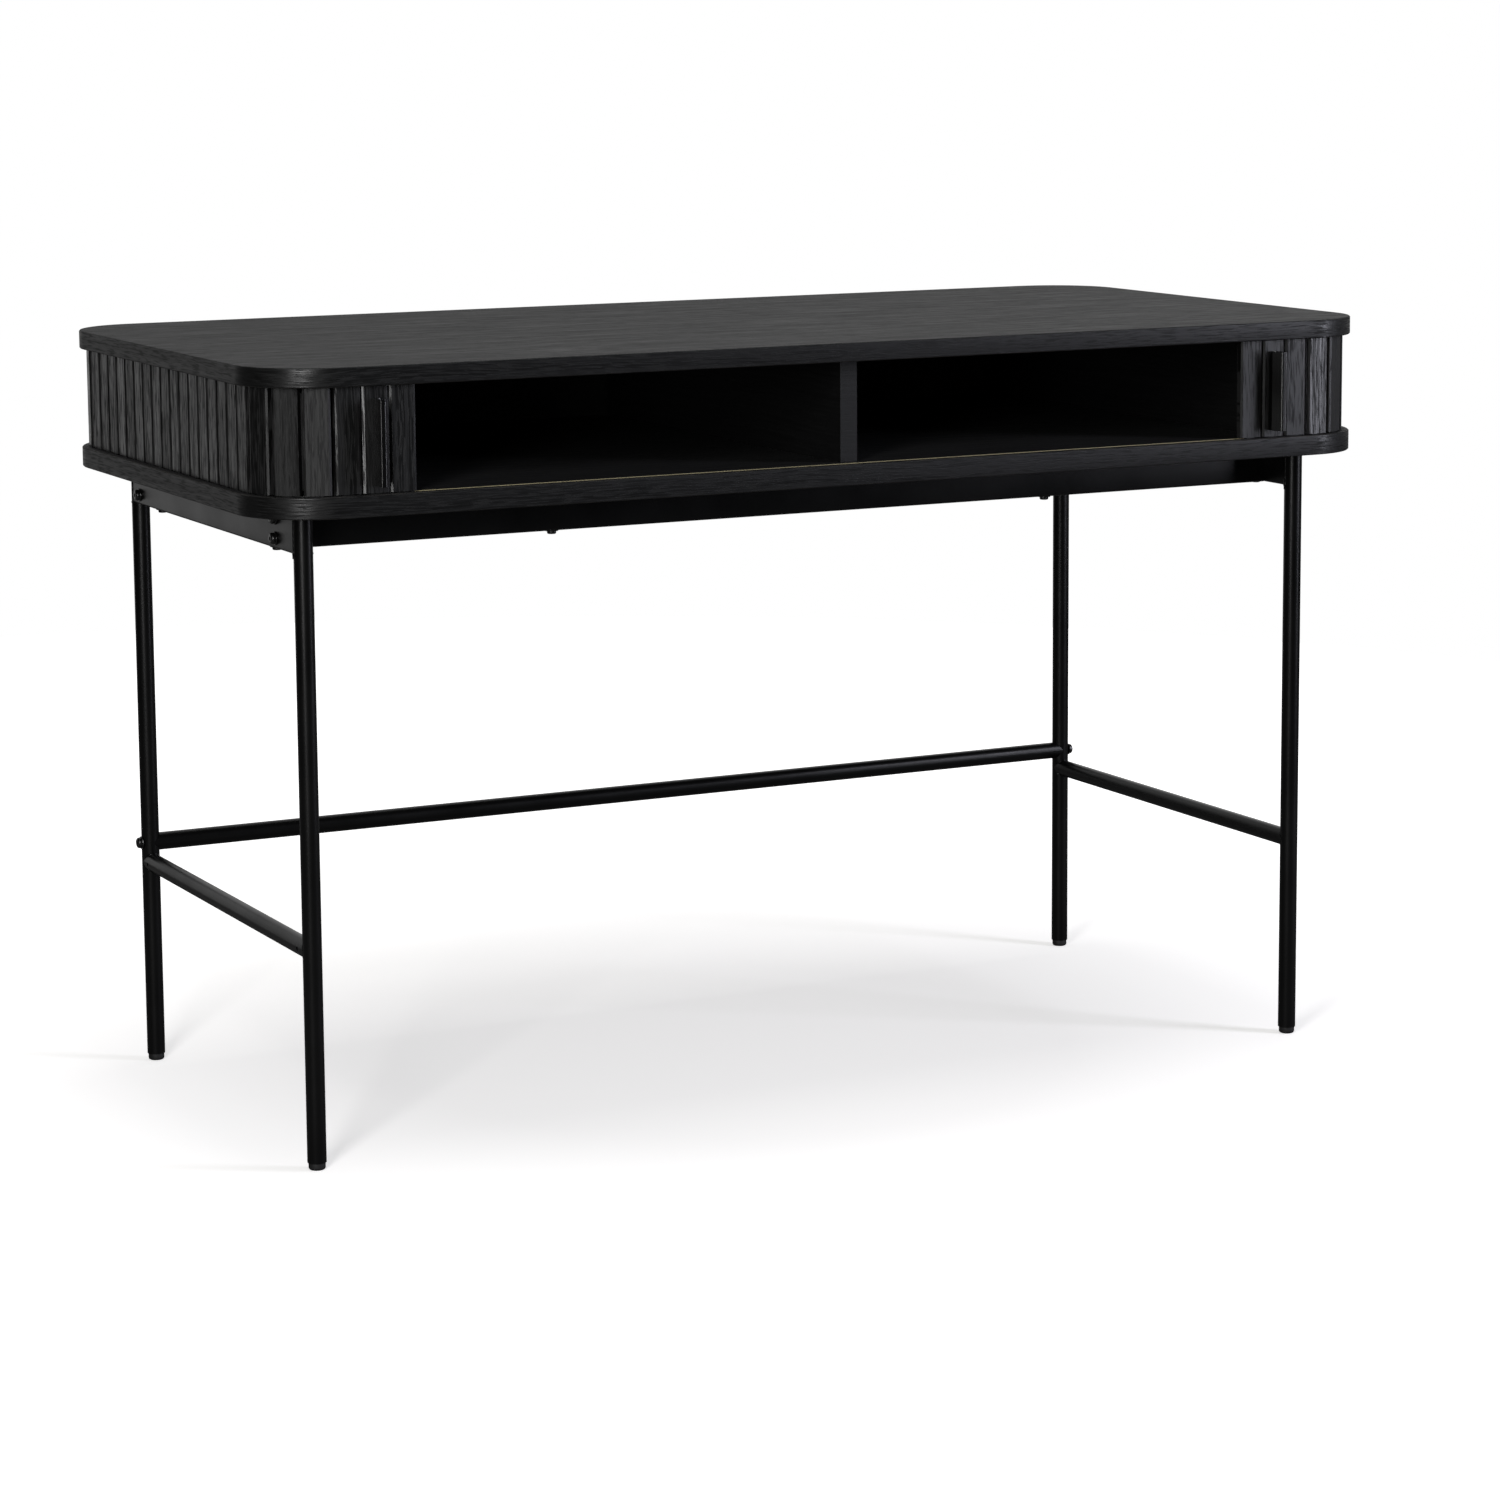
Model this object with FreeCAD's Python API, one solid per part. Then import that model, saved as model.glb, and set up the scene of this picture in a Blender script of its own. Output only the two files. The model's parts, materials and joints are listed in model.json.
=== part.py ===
import FreeCAD
import Part
import math
import os

# Tambour desk. Millimetres, +Z up, the front faces -Y, floor at z = 0.

# Panels of the case
desk_width = 1195.0
desk_depth = 592.0
desk_height = 750.0
corner_radius = 76.0
top_thickness = 18.0
bottom_thickness = 20.0
bay_height = 98.0
panel_arris = 1.0

# Walls inside the bay
divider_thickness = 18.0
inner_panel_thickness = 15.0
back_panel_thickness = 15.0
wall_setback = 23.0
side_pocket = 110.0
back_setback = 22.0
back_panel_end_gap = 62.5

# Curtain grooves
groove_depth = 6.0
groove_width = 5.4

# Curtain slats
slat_width = 25.0
slat_gap = 1.4
slat_thickness = 7.0
slat_setback = 7.5
slat_chamfer = 1.8
slat_end_gap = 0.8
tongue_thickness = 3.6
tongue_width = 10.0
tongue_floor_gap = 0.3
tongue_roof_gap = 0.9
canvas_thickness = 0.8
canvas_margin = 4.0

# Lead edges of the two doors as they stand open, from the sides of the desk
left_lead_from_side = 147.2
right_lead_from_side = 161.5

# Handles
handle_height = 79.0
handle_drop = 2.0
handle_reach = 19.3
handle_wall = 1.5
handle_cove = 7.0
handle_foot = 9.5
handle_brow = 5.2
handle_lip_run = 6.3
handle_lip_drop = 9.2
handle_off_middle = 2.7
handle_screw_spacing = 50.0
handle_screw_from_fin = 1.2
handle_screw_diameter = 3.0
handle_screw_bite = 3.0
handle_screw_head_diameter = 6.0
handle_screw_head_height = 1.8

# Joints of the case
dowel_diameter = 8.0
dowel_length = 24.0
dowel_end_gap = 0.5
dowel_spacing = 300.0
cam_diameter = 15.0
cam_length = 12.0
cam_from_edge = 26.0
cam_spacing = 380.0
cam_bolt_diameter = 6.0
cam_bolt_bite = 10.0
case_screw_diameter = 5.0
case_screw_bite = 30.0
case_screw_head_diameter = 10.0
case_screw_head_height = 4.0
case_screw_spacing = 220.0

# Legs and feet
leg_diameter = 18.0
leg_wall = 1.5
leg_inset_x = 58.5
leg_inset_y = 66.0
foot_diameter = 16.0
foot_height = 7.0
foot_bevel = 2.2
foot_plug_length = 18.0

# Rails and stretchers
rail_height = 38.0
rail_width = 18.0
rail_wall = 1.5
front_rail_inset = 114.0
rear_rail_inset = 90.0
end_plate_thickness = 4.0
stretcher_diameter = 18.0
stretcher_wall = 1.5
rear_stretcher_height = 227.0
side_stretcher_height = 207.0
stretcher_plug_length = 14.0
vent_diameter = 4.0
vent_from_leg = 16.0

# Frame bolts
bolt_diameter = 6.0
bolt_head_diameter = 11.0
bolt_head_height = 4.0
bolt_head_bevel = 1.8
bolt_past_thread = 2.0
rail_bolt_spacing = 19.0
washer_diameter = 13.0
washer_thickness = 1.2
insert_diameter = 9.0
insert_length = 13.0
insert_bolt_bite = 12.0
side_panel_bolt_inset = 68.0
rail_panel_bolt_spacing = 542.0

# Clearances
hole_clearance = 0.4
fit_clearance = 0.1
weld_clearance = 0.1
overrun = 2.0

# Places worked out from the sizes
bay_top = desk_height - top_thickness
bay_floor = bay_top - bay_height
case_bottom = bay_floor - bottom_thickness
wall_front = -desk_depth / 2 + wall_setback
back_panel_rear = desk_depth / 2 - back_setback
back_panel_front = back_panel_rear - back_panel_thickness
inner_panel_outer = desk_width / 2 - side_pocket
inner_panel_inner = inner_panel_outer - inner_panel_thickness
wall_middle = (back_panel_front + wall_front) / 2
leg_x = desk_width / 2 - leg_inset_x
leg_y = desk_depth / 2 - leg_inset_y
rail_bottom = case_bottom - rail_height
rail_middle = case_bottom - rail_height / 2
front_rail_y = -desk_depth / 2 + front_rail_inset
rear_rail_y = desk_depth / 2 - rear_rail_inset
rail_end = leg_x - rail_width / 2
slat_pitch = slat_width + slat_gap
slat_back = slat_setback + slat_thickness
handle_screw_tip = -slat_thickness - handle_screw_bite
slat_bottom = bay_floor + slat_end_gap
slat_top = bay_top - slat_end_gap
handle_middle = (slat_bottom + slat_top) / 2 - handle_drop
arc_x = desk_width / 2 - corner_radius
arc_y = desk_depth / 2 - corner_radius
back_radius = corner_radius - slat_back
arc_length = back_radius * math.pi / 2
side_length = 2 * arc_y
side_sign = {"left": -1, "right": 1}
lead_from_side = {"left": left_lead_from_side, "right": right_lead_from_side}

# Each door travels to the middle of the front; its curtain has a tail as long, which keeps the side covered
door_travel = {side: desk_width / 2 - inset for side, inset in lead_from_side.items()}

# The handles stand proud of the panels, so the middle of the depth lies ahead of the panels' middle
front_overhang = max(handle_reach - slat_setback, 0)
origin_shift = FreeCAD.Vector(0, front_overhang / 2, 0)

X_AXIS = FreeCAD.Vector(1, 0, 0)
Y_AXIS = FreeCAD.Vector(0, 1, 0)
Z_AXIS = FreeCAD.Vector(0, 0, 1)
ORIGIN = FreeCAD.Vector(0, 0, 0)


def point(x, y, z):
    return FreeCAD.Vector(x, y, z)


def block(x0, x1, y0, y1, z0, z1):
    return Part.makeBox(x1 - x0, y1 - y0, z1 - z0, point(x0, y0, z0))


def rod(start, axis, diameter, length):
    return Part.makeCylinder(diameter / 2, length, start, axis)


def drilled(shape, holes):
    return shape.cut(Part.makeCompound(holes))


def save(name, solids):
    shape = solids[0] if len(solids) == 1 else Part.makeCompound(solids)
    shape.translate(origin_shift)
    shape.exportStep("parts/" + name + ".step")


# Panels

def rounded_outline(width, depth, radius, z):
    x = width / 2
    y = depth / 2
    diagonal = radius * (1 - math.sqrt(2) / 2)
    edges = []
    for sx, sy in ((1, 1), (-1, 1), (-1, -1), (1, -1)):
        on_side = point(sx * x, sy * (y - radius), z)
        on_front = point(sx * (x - radius), sy * y, z)
        middle = point(sx * (x - diagonal), sy * (y - diagonal), z)
        ends = (on_side, on_front) if sx == sy else (on_front, on_side)
        edges.append(Part.Arc(ends[0], middle, ends[1]).toShape())
    corners = []
    for i, arc in enumerate(edges):
        corners.append(arc)
        start = arc.Vertexes[-1].Point
        end = edges[(i + 1) % len(edges)].Vertexes[0].Point
        corners.append(Part.makeLine(start, end))
    return Part.Wire(corners)


def rounded_slab(width, depth, radius, z, thickness):
    return Part.Face(rounded_outline(width, depth, radius, z)).extrude(Z_AXIS * thickness)


def curtain_groove(z, depth):
    middle = slat_setback + slat_thickness / 2
    outer = middle - groove_width / 2
    inner = middle + groove_width / 2
    ring = rounded_slab(desk_width - 2 * outer, desk_depth - 2 * outer, corner_radius - outer, z, depth)
    core = rounded_slab(desk_width - 2 * inner, desk_depth - 2 * inner, corner_radius - inner, z, depth)
    return ring.cut(core)


def eased_slab(z, thickness):
    slab = rounded_slab(desk_width, desk_depth, corner_radius, z, thickness)
    rims = [e for e in slab.Edges if e.BoundBox.ZLength < thickness / 2]
    return slab.makeChamfer(panel_arris, rims)


# Joints of the case: each wall stands on edge, along Y or along X

def wall_run(name):
    if name == "centre_divider":
        return point(0, wall_middle, 0), Y_AXIS
    if name == "back_panel":
        return point(0, (back_panel_front + back_panel_rear) / 2, 0), X_AXIS
    x = side_sign[name.split("_")[0]] * (inner_panel_outer + inner_panel_inner) / 2
    return point(x, wall_middle, 0), Y_AXIS


def wall_places(name, spacing):
    middle, along = wall_run(name)
    return [middle + along * (s * spacing / 2) for s in (-1, 1)]


WALLS = ("centre_divider", "left_inner_panel", "right_inner_panel", "back_panel")
CAM_WALLS = ("centre_divider", "left_inner_panel", "right_inner_panel")


def dowels(name, extra_length, extra_diameter):
    length = dowel_length + 2 * extra_length
    low = bay_top - length / 2
    places = wall_places(name, dowel_spacing)
    return [rod(p + Z_AXIS * low, Z_AXIS, dowel_diameter + extra_diameter, length) for p in places]


def cam_bolts(name, extra_diameter):
    low = bay_top - cam_from_edge
    length = cam_from_edge + cam_bolt_bite
    places = wall_places(name, cam_spacing)
    return [rod(p + Z_AXIS * low, Z_AXIS, cam_bolt_diameter + extra_diameter, length) for p in places]


def cam_faces(name):
    if name == "centre_divider":
        return divider_thickness / 2, 1
    sign = side_sign[name.split("_")[0]]
    return sign * inner_panel_outer, sign


def cams(name, extra):
    face, sign = cam_faces(name)
    z = bay_top - cam_from_edge
    bodies = []
    for p in wall_places(name, cam_spacing):
        start = point(face - sign * (cam_length + extra), p.y, z)
        bodies.append(rod(start, X_AXIS * sign, cam_diameter + extra, cam_length + extra))
    return bodies


def case_screw(place, extra):
    low = place + Z_AXIS * case_bottom
    length = bottom_thickness + case_screw_bite
    shank = rod(low, Z_AXIS, case_screw_diameter + extra, length)
    rim = (case_screw_head_diameter + extra) / 2
    neck = (case_screw_diameter + extra) / 2
    head = Part.makeCone(rim, neck, case_screw_head_height, low, Z_AXIS)
    return shank.fuse(head).removeSplitter()


def case_screws(name, extra):
    return [case_screw(p, extra) for p in wall_places(name, case_screw_spacing)]


def panel_bolt_places():
    side_y = leg_y - side_panel_bolt_inset
    places = [point(sx * leg_x, sy * side_y, 0) for sx in (-1, 1) for sy in (-1, 1)]
    for y in (front_rail_y, rear_rail_y):
        for sx in (-1, 1):
            places.append(point(sx * rail_panel_bolt_spacing / 2, y, 0))
    return places


def top_panel():
    holes = [curtain_groove(bay_top, groove_depth)]
    for name in WALLS:
        holes += dowels(name, dowel_end_gap, fit_clearance)
    for name in CAM_WALLS:
        holes += cam_bolts(name, fit_clearance)
    return drilled(eased_slab(bay_top, top_thickness), holes)


def bottom_panel():
    holes = [curtain_groove(bay_floor - groove_depth, groove_depth)]
    for name in WALLS:
        holes += case_screws(name, fit_clearance)
    for p in panel_bolt_places():
        holes.append(rod(p + Z_AXIS * case_bottom, Z_AXIS, insert_diameter, insert_length))
    return drilled(eased_slab(case_bottom, bottom_thickness), holes)


def wall_blank(name):
    if name == "back_panel":
        half = desk_width / 2 - back_panel_end_gap
        return block(-half, half, back_panel_front, back_panel_rear, bay_floor, bay_top)
    middle = wall_run(name)[0]
    thickness = divider_thickness if name == "centre_divider" else inner_panel_thickness
    x0 = middle.x - thickness / 2
    return block(x0, x0 + thickness, wall_front, back_panel_front, bay_floor, bay_top)


def wall(name):
    holes = dowels(name, dowel_end_gap, fit_clearance) + case_screws(name, fit_clearance)
    if name in CAM_WALLS:
        holes += cam_bolts(name, hole_clearance) + cams(name, fit_clearance)
    return drilled(wall_blank(name), holes)


# Curtains: from the lead edge along the front, round the corner, along the side and round to the back

def slat_place(side, distance):
    sign = side_sign[side]
    front_length = lead_from_side[side] - corner_radius
    if distance < front_length:
        x = desk_width / 2 - lead_from_side[side] + distance
        return point(sign * x, -desk_depth / 2 + slat_back, 0), 0
    along = distance - front_length
    if along < arc_length:
        turn = along / back_radius
        return arc_place(sign, -arc_y, turn), sign * math.degrees(turn)
    along -= arc_length
    if along < side_length:
        return point(sign * (desk_width / 2 - slat_back), -arc_y + along, 0), sign * 90
    along -= side_length
    if along < arc_length:
        turn = math.pi / 2 + along / back_radius
        return arc_place(sign, arc_y, turn), sign * math.degrees(turn)
    along -= arc_length
    return point(sign * (arc_x - along), desk_depth / 2 - slat_back, 0), sign * 180


def arc_place(sign, y, turn):
    return point(sign * (arc_x + back_radius * math.sin(turn)), y - back_radius * math.cos(turn), 0)


def slat_sections(side):
    front_length = lead_from_side[side] - corner_radius
    stretches = [front_length, arc_length, side_length, arc_length, door_travel[side]]
    limits = [sum(stretches[:i + 1]) for i in range(len(stretches))]
    sections = [[] for stretch in stretches]
    distance = slat_width / 2
    while distance < limits[-1]:
        section = sum(distance >= limit for limit in limits)
        sections[section].append(slat_place(side, distance))
        distance += slat_pitch
    return sections


def placed(shape, place):
    copy = shape.copy()
    copy.rotate(ORIGIN, Z_AXIS, place[1])
    copy.translate(place[0])
    return copy


def plain_slat():
    body = block(-slat_width / 2, slat_width / 2, -slat_thickness, 0, slat_bottom, slat_top)
    upright = [e for e in body.Edges if e.BoundBox.ZLength > bay_height / 2]
    front = [e for e in upright if e.CenterOfMass.y < -slat_thickness / 2]
    body = body.makeChamfer(slat_chamfer, front)
    y0 = -(slat_thickness + tongue_thickness) / 2
    low = bay_floor - groove_depth + tongue_floor_gap
    high = bay_top + groove_depth - tongue_roof_gap
    tongue = block(-tongue_width / 2, tongue_width / 2, y0, y0 + tongue_thickness, low, high)
    return body.fuse(tongue).removeSplitter()


def canvas(places, holes):
    glued = []
    inner = []
    for place, angle in places:
        turn = FreeCAD.Rotation(Z_AXIS, angle)
        ends = (1, -1) if places[0][0].x > 0 else (-1, 1)
        for end in ends:
            u = -end * slat_width / 2
            glued.append(place + turn.multVec(point(u, 0, 0)))
            inner.append(place + turn.multVec(point(u, canvas_thickness, 0)))
    lift = Z_AXIS * (slat_bottom + canvas_margin)
    outline = [p + lift for p in glued + inner[::-1]]
    strip = Part.Face(Part.makePolygon(outline + outline[:1]))
    strip = strip.extrude(Z_AXIS * (slat_top - slat_bottom - 2 * canvas_margin))
    return drilled(strip, holes) if holes else strip


# Handles: a wall with a coved foot and a brow that is folded down over the finger, its wall away from the lead slat

def fin_outer(side):
    return side_sign[side] * handle_off_middle


def handle(side, place):
    toward_lead = -side_sign[side]
    slope = math.hypot(handle_lip_run, handle_lip_drop)
    fold_u = handle_wall * handle_lip_drop / slope
    fold_v = handle_wall * handle_lip_run / slope
    under = handle_reach - handle_wall
    lip_u = handle_brow + handle_lip_run
    lip_v = handle_reach - handle_lip_drop
    corner_u = handle_brow - fold_u + (handle_wall - fold_v) * handle_lip_run / handle_lip_drop
    cove_end = handle_wall + handle_cove
    bend = handle_wall + handle_cove * (1 - math.sqrt(2) / 2)
    run = [(cove_end, handle_wall), (handle_foot, handle_wall), (handle_foot, 0), (0, 0), (0, handle_reach)]
    run += [(handle_brow, handle_reach), (lip_u, lip_v), (lip_u - fold_u, lip_v - fold_v)]
    run += [(corner_u, under), (handle_wall, under), (handle_wall, cove_end)]
    low = handle_middle - handle_height / 2

    def spot(u, v):
        return point(fin_outer(side) + toward_lead * u, -slat_thickness - v, low)

    corners = [spot(u, v) for u, v in run]
    edges = [Part.makeLine(a, b) for a, b in zip(corners, corners[1:])]
    edges.append(Part.Arc(corners[-1], spot(bend, bend), corners[0]).toShape())
    bar = Part.Face(Part.Wire(edges)).extrude(Z_AXIS * handle_height)
    holes = handle_screw_rods(side, handle_screw_diameter + fit_clearance, handle_screw_tip, 0)
    return placed(drilled(bar, holes), place)


def handle_screw_places(side):
    u = fin_outer(side) - side_sign[side] * (handle_wall + handle_screw_from_fin)
    return [point(u, 0, handle_middle + s * handle_screw_spacing / 2) for s in (-1, 1)]


def handle_screw_rods(side, diameter, front, back):
    return [rod(p + Y_AXIS * front, Y_AXIS, diameter, back - front) for p in handle_screw_places(side)]


def handle_screws(side, place):
    shanks = handle_screw_rods(side, handle_screw_diameter, handle_screw_tip, canvas_thickness)
    head_back = canvas_thickness + handle_screw_head_height
    heads = handle_screw_rods(side, handle_screw_head_diameter, canvas_thickness, head_back)
    return [placed(shank.fuse(head), place) for shank, head in zip(shanks, heads)]


def save_curtain(side):
    front, corner, flank, back_corner, back = slat_sections(side)
    slat = plain_slat()
    bore_diameter = handle_screw_diameter + hole_clearance
    bores = handle_screw_rods(side, bore_diameter, -slat_thickness - overrun, overrun)
    save(side + "_lead_slat", [placed(slat, front[0])])
    save(side + "_handle_slat", [placed(drilled(slat, bores), front[1])])
    save(side + "_front_slats", [placed(slat, p) for p in front[2:]])
    save(side + "_corner_slats", [placed(slat, p) for p in corner])
    save(side + "_side_slats", [placed(slat, p) for p in flank])
    save(side + "_back_corner_slats", [placed(slat, p) for p in back_corner])
    save(side + "_back_slats", [placed(slat, p) for p in back])
    save(side + "_door_canvas", [canvas(front, [placed(b, front[1]) for b in bores])])
    save(side + "_curtain_canvas", [canvas(corner + flank + back_corner + back, [])])
    save(side + "_handle", [handle(side, front[1])])
    save(side + "_handle_screws", handle_screws(side, front[1]))


# Frame

def round_tube(start, axis, diameter, wall_size, length):
    outside = rod(start, axis, diameter, length)
    bore = rod(start - axis * overrun, axis, diameter - 2 * wall_size, length + 2 * overrun)
    return outside.cut(bore)


def leg_rod(sx, sy, extra):
    return rod(point(sx * leg_x, sy * leg_y, 0), Z_AXIS, leg_diameter + extra, case_bottom)


def leg(sx, sy):
    start = point(sx * leg_x, sy * leg_y, foot_height)
    tube = round_tube(start, Z_AXIS, leg_diameter, leg_wall, case_bottom - foot_height)
    if sy < 0:
        return tube
    reach = leg_diameter + 2 * overrun
    bore_start = point(sx * leg_x - reach / 2, leg_y, rear_stretcher_height)
    return tube.cut(rod(bore_start, X_AXIS, bolt_diameter + hole_clearance, reach))


def foot(sx, sy):
    start = point(sx * leg_x, sy * leg_y, 0)
    pad = rod(start, Z_AXIS, foot_diameter, foot_height)
    rim = [e for e in pad.Edges if e.BoundBox.ZMax < foot_height / 2]
    pad = pad.makeChamfer(foot_bevel, rim)
    plug_diameter = leg_diameter - 2 * leg_wall - 2 * fit_clearance
    plug = rod(start + Z_AXIS * foot_height, Z_AXIS, plug_diameter, foot_plug_length)
    return pad.fuse(plug)


def box_tube_x(x0, x1, y):
    y0 = y - rail_width / 2
    y1 = y + rail_width / 2
    outside = block(x0, x1, y0, y1, rail_bottom, case_bottom)
    bore = block(x0 - overrun, x1 + overrun, y0 + rail_wall, y1 - rail_wall, rail_bottom + rail_wall,
                 case_bottom - rail_wall)
    return outside.cut(bore)


def rail_bolt_places(sx):
    x = sx * (leg_x + rail_width / 2)
    heights = [rail_middle + s * rail_bolt_spacing / 2 for s in (-1, 1)]
    return [point(x, y, z) for y in (front_rail_y, rear_rail_y) for z in heights]


def rail_bolt_holes(sx):
    length = rail_width + 2 * overrun
    holes = []
    for p in rail_bolt_places(sx):
        start = point(sx * leg_x - length / 2, p.y, p.z)
        holes.append(rod(start, X_AXIS, bolt_diameter + hole_clearance, length))
    return holes


def panel_bolt_holes():
    low = rail_bottom - overrun
    length = rail_height + 2 * overrun
    diameter = bolt_diameter + hole_clearance
    return [rod(p + Z_AXIS * low, Z_AXIS, diameter, length) for p in panel_bolt_places()]


def side_rail(sx):
    x0 = sx * leg_x - rail_width / 2
    x1 = sx * leg_x + rail_width / 2
    outside = block(x0, x1, -leg_y, leg_y, rail_bottom, case_bottom)
    bore = block(x0 + rail_wall, x1 - rail_wall, -leg_y - overrun, leg_y + overrun, rail_bottom + rail_wall,
                 case_bottom - rail_wall)
    copes = [leg_rod(sx, sy, 2 * weld_clearance) for sy in (-1, 1)]
    return drilled(outside.cut(bore), copes + rail_bolt_holes(sx) + panel_bolt_holes())


def side_stretcher(sx):
    start = point(sx * leg_x, -leg_y, side_stretcher_height)
    tube = round_tube(start, Y_AXIS, stretcher_diameter, stretcher_wall, 2 * leg_y)
    copes = [leg_rod(sx, sy, 2 * weld_clearance) for sy in (-1, 1)]
    vents = []
    for sy in (-1, 1):
        vent_start = point(sx * leg_x, sy * (leg_y - vent_from_leg), side_stretcher_height)
        vents.append(rod(vent_start, X_AXIS * sx, vent_diameter, stretcher_diameter))
    return drilled(tube, copes + vents)


def rear_stretcher():
    start = point(-leg_x, leg_y, rear_stretcher_height)
    tube = round_tube(start, X_AXIS, stretcher_diameter, stretcher_wall, 2 * leg_x)
    return drilled(tube, [leg_rod(sx, 1, 2 * weld_clearance) for sx in (-1, 1)])


def stretcher_plugs():
    bodies = []
    for sx in (-1, 1):
        start = point(sx * (leg_x - leg_diameter / 2 - weld_clearance), leg_y, rear_stretcher_height)
        inward = X_AXIS * -sx
        bore = rod(start, inward, bolt_diameter + fit_clearance, stretcher_plug_length)
        plug_diameter = stretcher_diameter - 2 * stretcher_wall - fit_clearance
        plug = rod(start, inward, plug_diameter, stretcher_plug_length)
        bodies.append(drilled(plug, [bore, leg_rod(sx, 1, 2 * weld_clearance)]))
    return bodies


def long_rail(y):
    return drilled(box_tube_x(-rail_end, rail_end, y), panel_bolt_holes())


def end_plates():
    bodies = []
    half_width = rail_width / 2 - rail_wall - fit_clearance
    low = rail_bottom + rail_wall + fit_clearance
    high = case_bottom - rail_wall - fit_clearance
    reach = rail_width + 2 * end_plate_thickness
    thread = bolt_diameter + fit_clearance
    for sx in (-1, 1):
        bores = [rod(p, X_AXIS * -sx, thread, reach) for p in rail_bolt_places(sx)]
        x0, x1 = sorted((sx * rail_end, sx * (rail_end - end_plate_thickness)))
        for y in (front_rail_y, rear_rail_y):
            plate = block(x0, x1, y - half_width, y + half_width, low, high)
            bodies.append(drilled(plate, bores))
    return bodies


# Fasteners of the frame: a bevelled head on a shank, with a washer under the head

def bolt(seat, inward, length):
    head_seat = seat - inward * washer_thickness
    head = rod(head_seat, inward * -1, bolt_head_diameter, bolt_head_height)
    rims = [e for e in head.Edges if e.Closed]
    crown_rim = max(rims, key=lambda e: (head_seat - e.CenterOfMass).dot(inward))
    head = head.makeChamfer(bolt_head_bevel, [crown_rim])
    shank = rod(head_seat, inward, bolt_diameter, length + washer_thickness)
    return head.fuse(shank)


def washer(seat, inward):
    outside = rod(seat, inward * -1, washer_diameter, washer_thickness)
    return outside.cut(rod(seat, inward * -1, bolt_diameter + hole_clearance, washer_thickness))


def rail_bolt_seats():
    return [(p, X_AXIS * -sx) for sx in (-1, 1) for p in rail_bolt_places(sx)]


def stretcher_bolt_seats():
    reach = leg_x + leg_diameter / 2
    return [(point(sx * reach, leg_y, rear_stretcher_height), X_AXIS * -sx) for sx in (-1, 1)]


def panel_bolt_seats():
    return [(p + Z_AXIS * rail_bottom, Z_AXIS) for p in panel_bolt_places()]


def threaded_inserts():
    bodies = []
    for p in panel_bolt_places():
        outside = rod(p + Z_AXIS * case_bottom, Z_AXIS, insert_diameter, insert_length)
        bore = rod(p + Z_AXIS * case_bottom, Z_AXIS, bolt_diameter + fit_clearance, insert_length)
        bodies.append(outside.cut(bore))
    return bodies


def save_fasteners(name, seats, length):
    save(name + "_bolts", [bolt(seat, inward, length) for seat, inward in seats])
    save(name + "_washers", [washer(seat, inward) for seat, inward in seats])


def save_case():
    save("top_panel", [top_panel()])
    save("bottom_panel", [bottom_panel()])
    for name in WALLS:
        save(name, [wall(name)])
    save("case_dowels", [d for name in WALLS for d in dowels(name, 0, 0)])
    save("case_screws", [s for name in WALLS for s in case_screws(name, 0)])
    save("cam_bolts", [b for name in CAM_WALLS for b in cam_bolts(name, 0)])
    bores = [b for name in CAM_WALLS for b in cam_bolts(name, hole_clearance)]
    save("cam_locks", [drilled(c, bores) for name in CAM_WALLS for c in cams(name, 0)])


def save_frame():
    for side, sx in side_sign.items():
        for end, sy in (("front", -1), ("rear", 1)):
            save(side + "_" + end + "_leg", [leg(sx, sy)])
            save(side + "_" + end + "_foot", [foot(sx, sy)])
        save(side + "_side_rail", [side_rail(sx)])
        save(side + "_side_stretcher", [side_stretcher(sx)])
    save("rear_stretcher", [rear_stretcher()])
    save("stretcher_plugs", stretcher_plugs())
    save("front_rail", [long_rail(front_rail_y)])
    save("rear_rail", [long_rail(rear_rail_y)])
    save("rail_end_plates", end_plates())
    save("threaded_inserts", threaded_inserts())
    rail_bolt_length = rail_width + end_plate_thickness + bolt_past_thread
    save_fasteners("rail", rail_bolt_seats(), rail_bolt_length)
    stretcher_bolt_length = leg_diameter + stretcher_plug_length - bolt_past_thread
    save_fasteners("stretcher", stretcher_bolt_seats(), stretcher_bolt_length)
    save_fasteners("panel", panel_bolt_seats(), rail_height + insert_bolt_bite)


os.makedirs("parts", exist_ok=True)
save_case()
for curtain_side in side_sign:
    save_curtain(curtain_side)
save_frame()
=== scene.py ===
import bmesh
import bpy
import json
import math
from mathutils import Matrix, Vector


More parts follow.
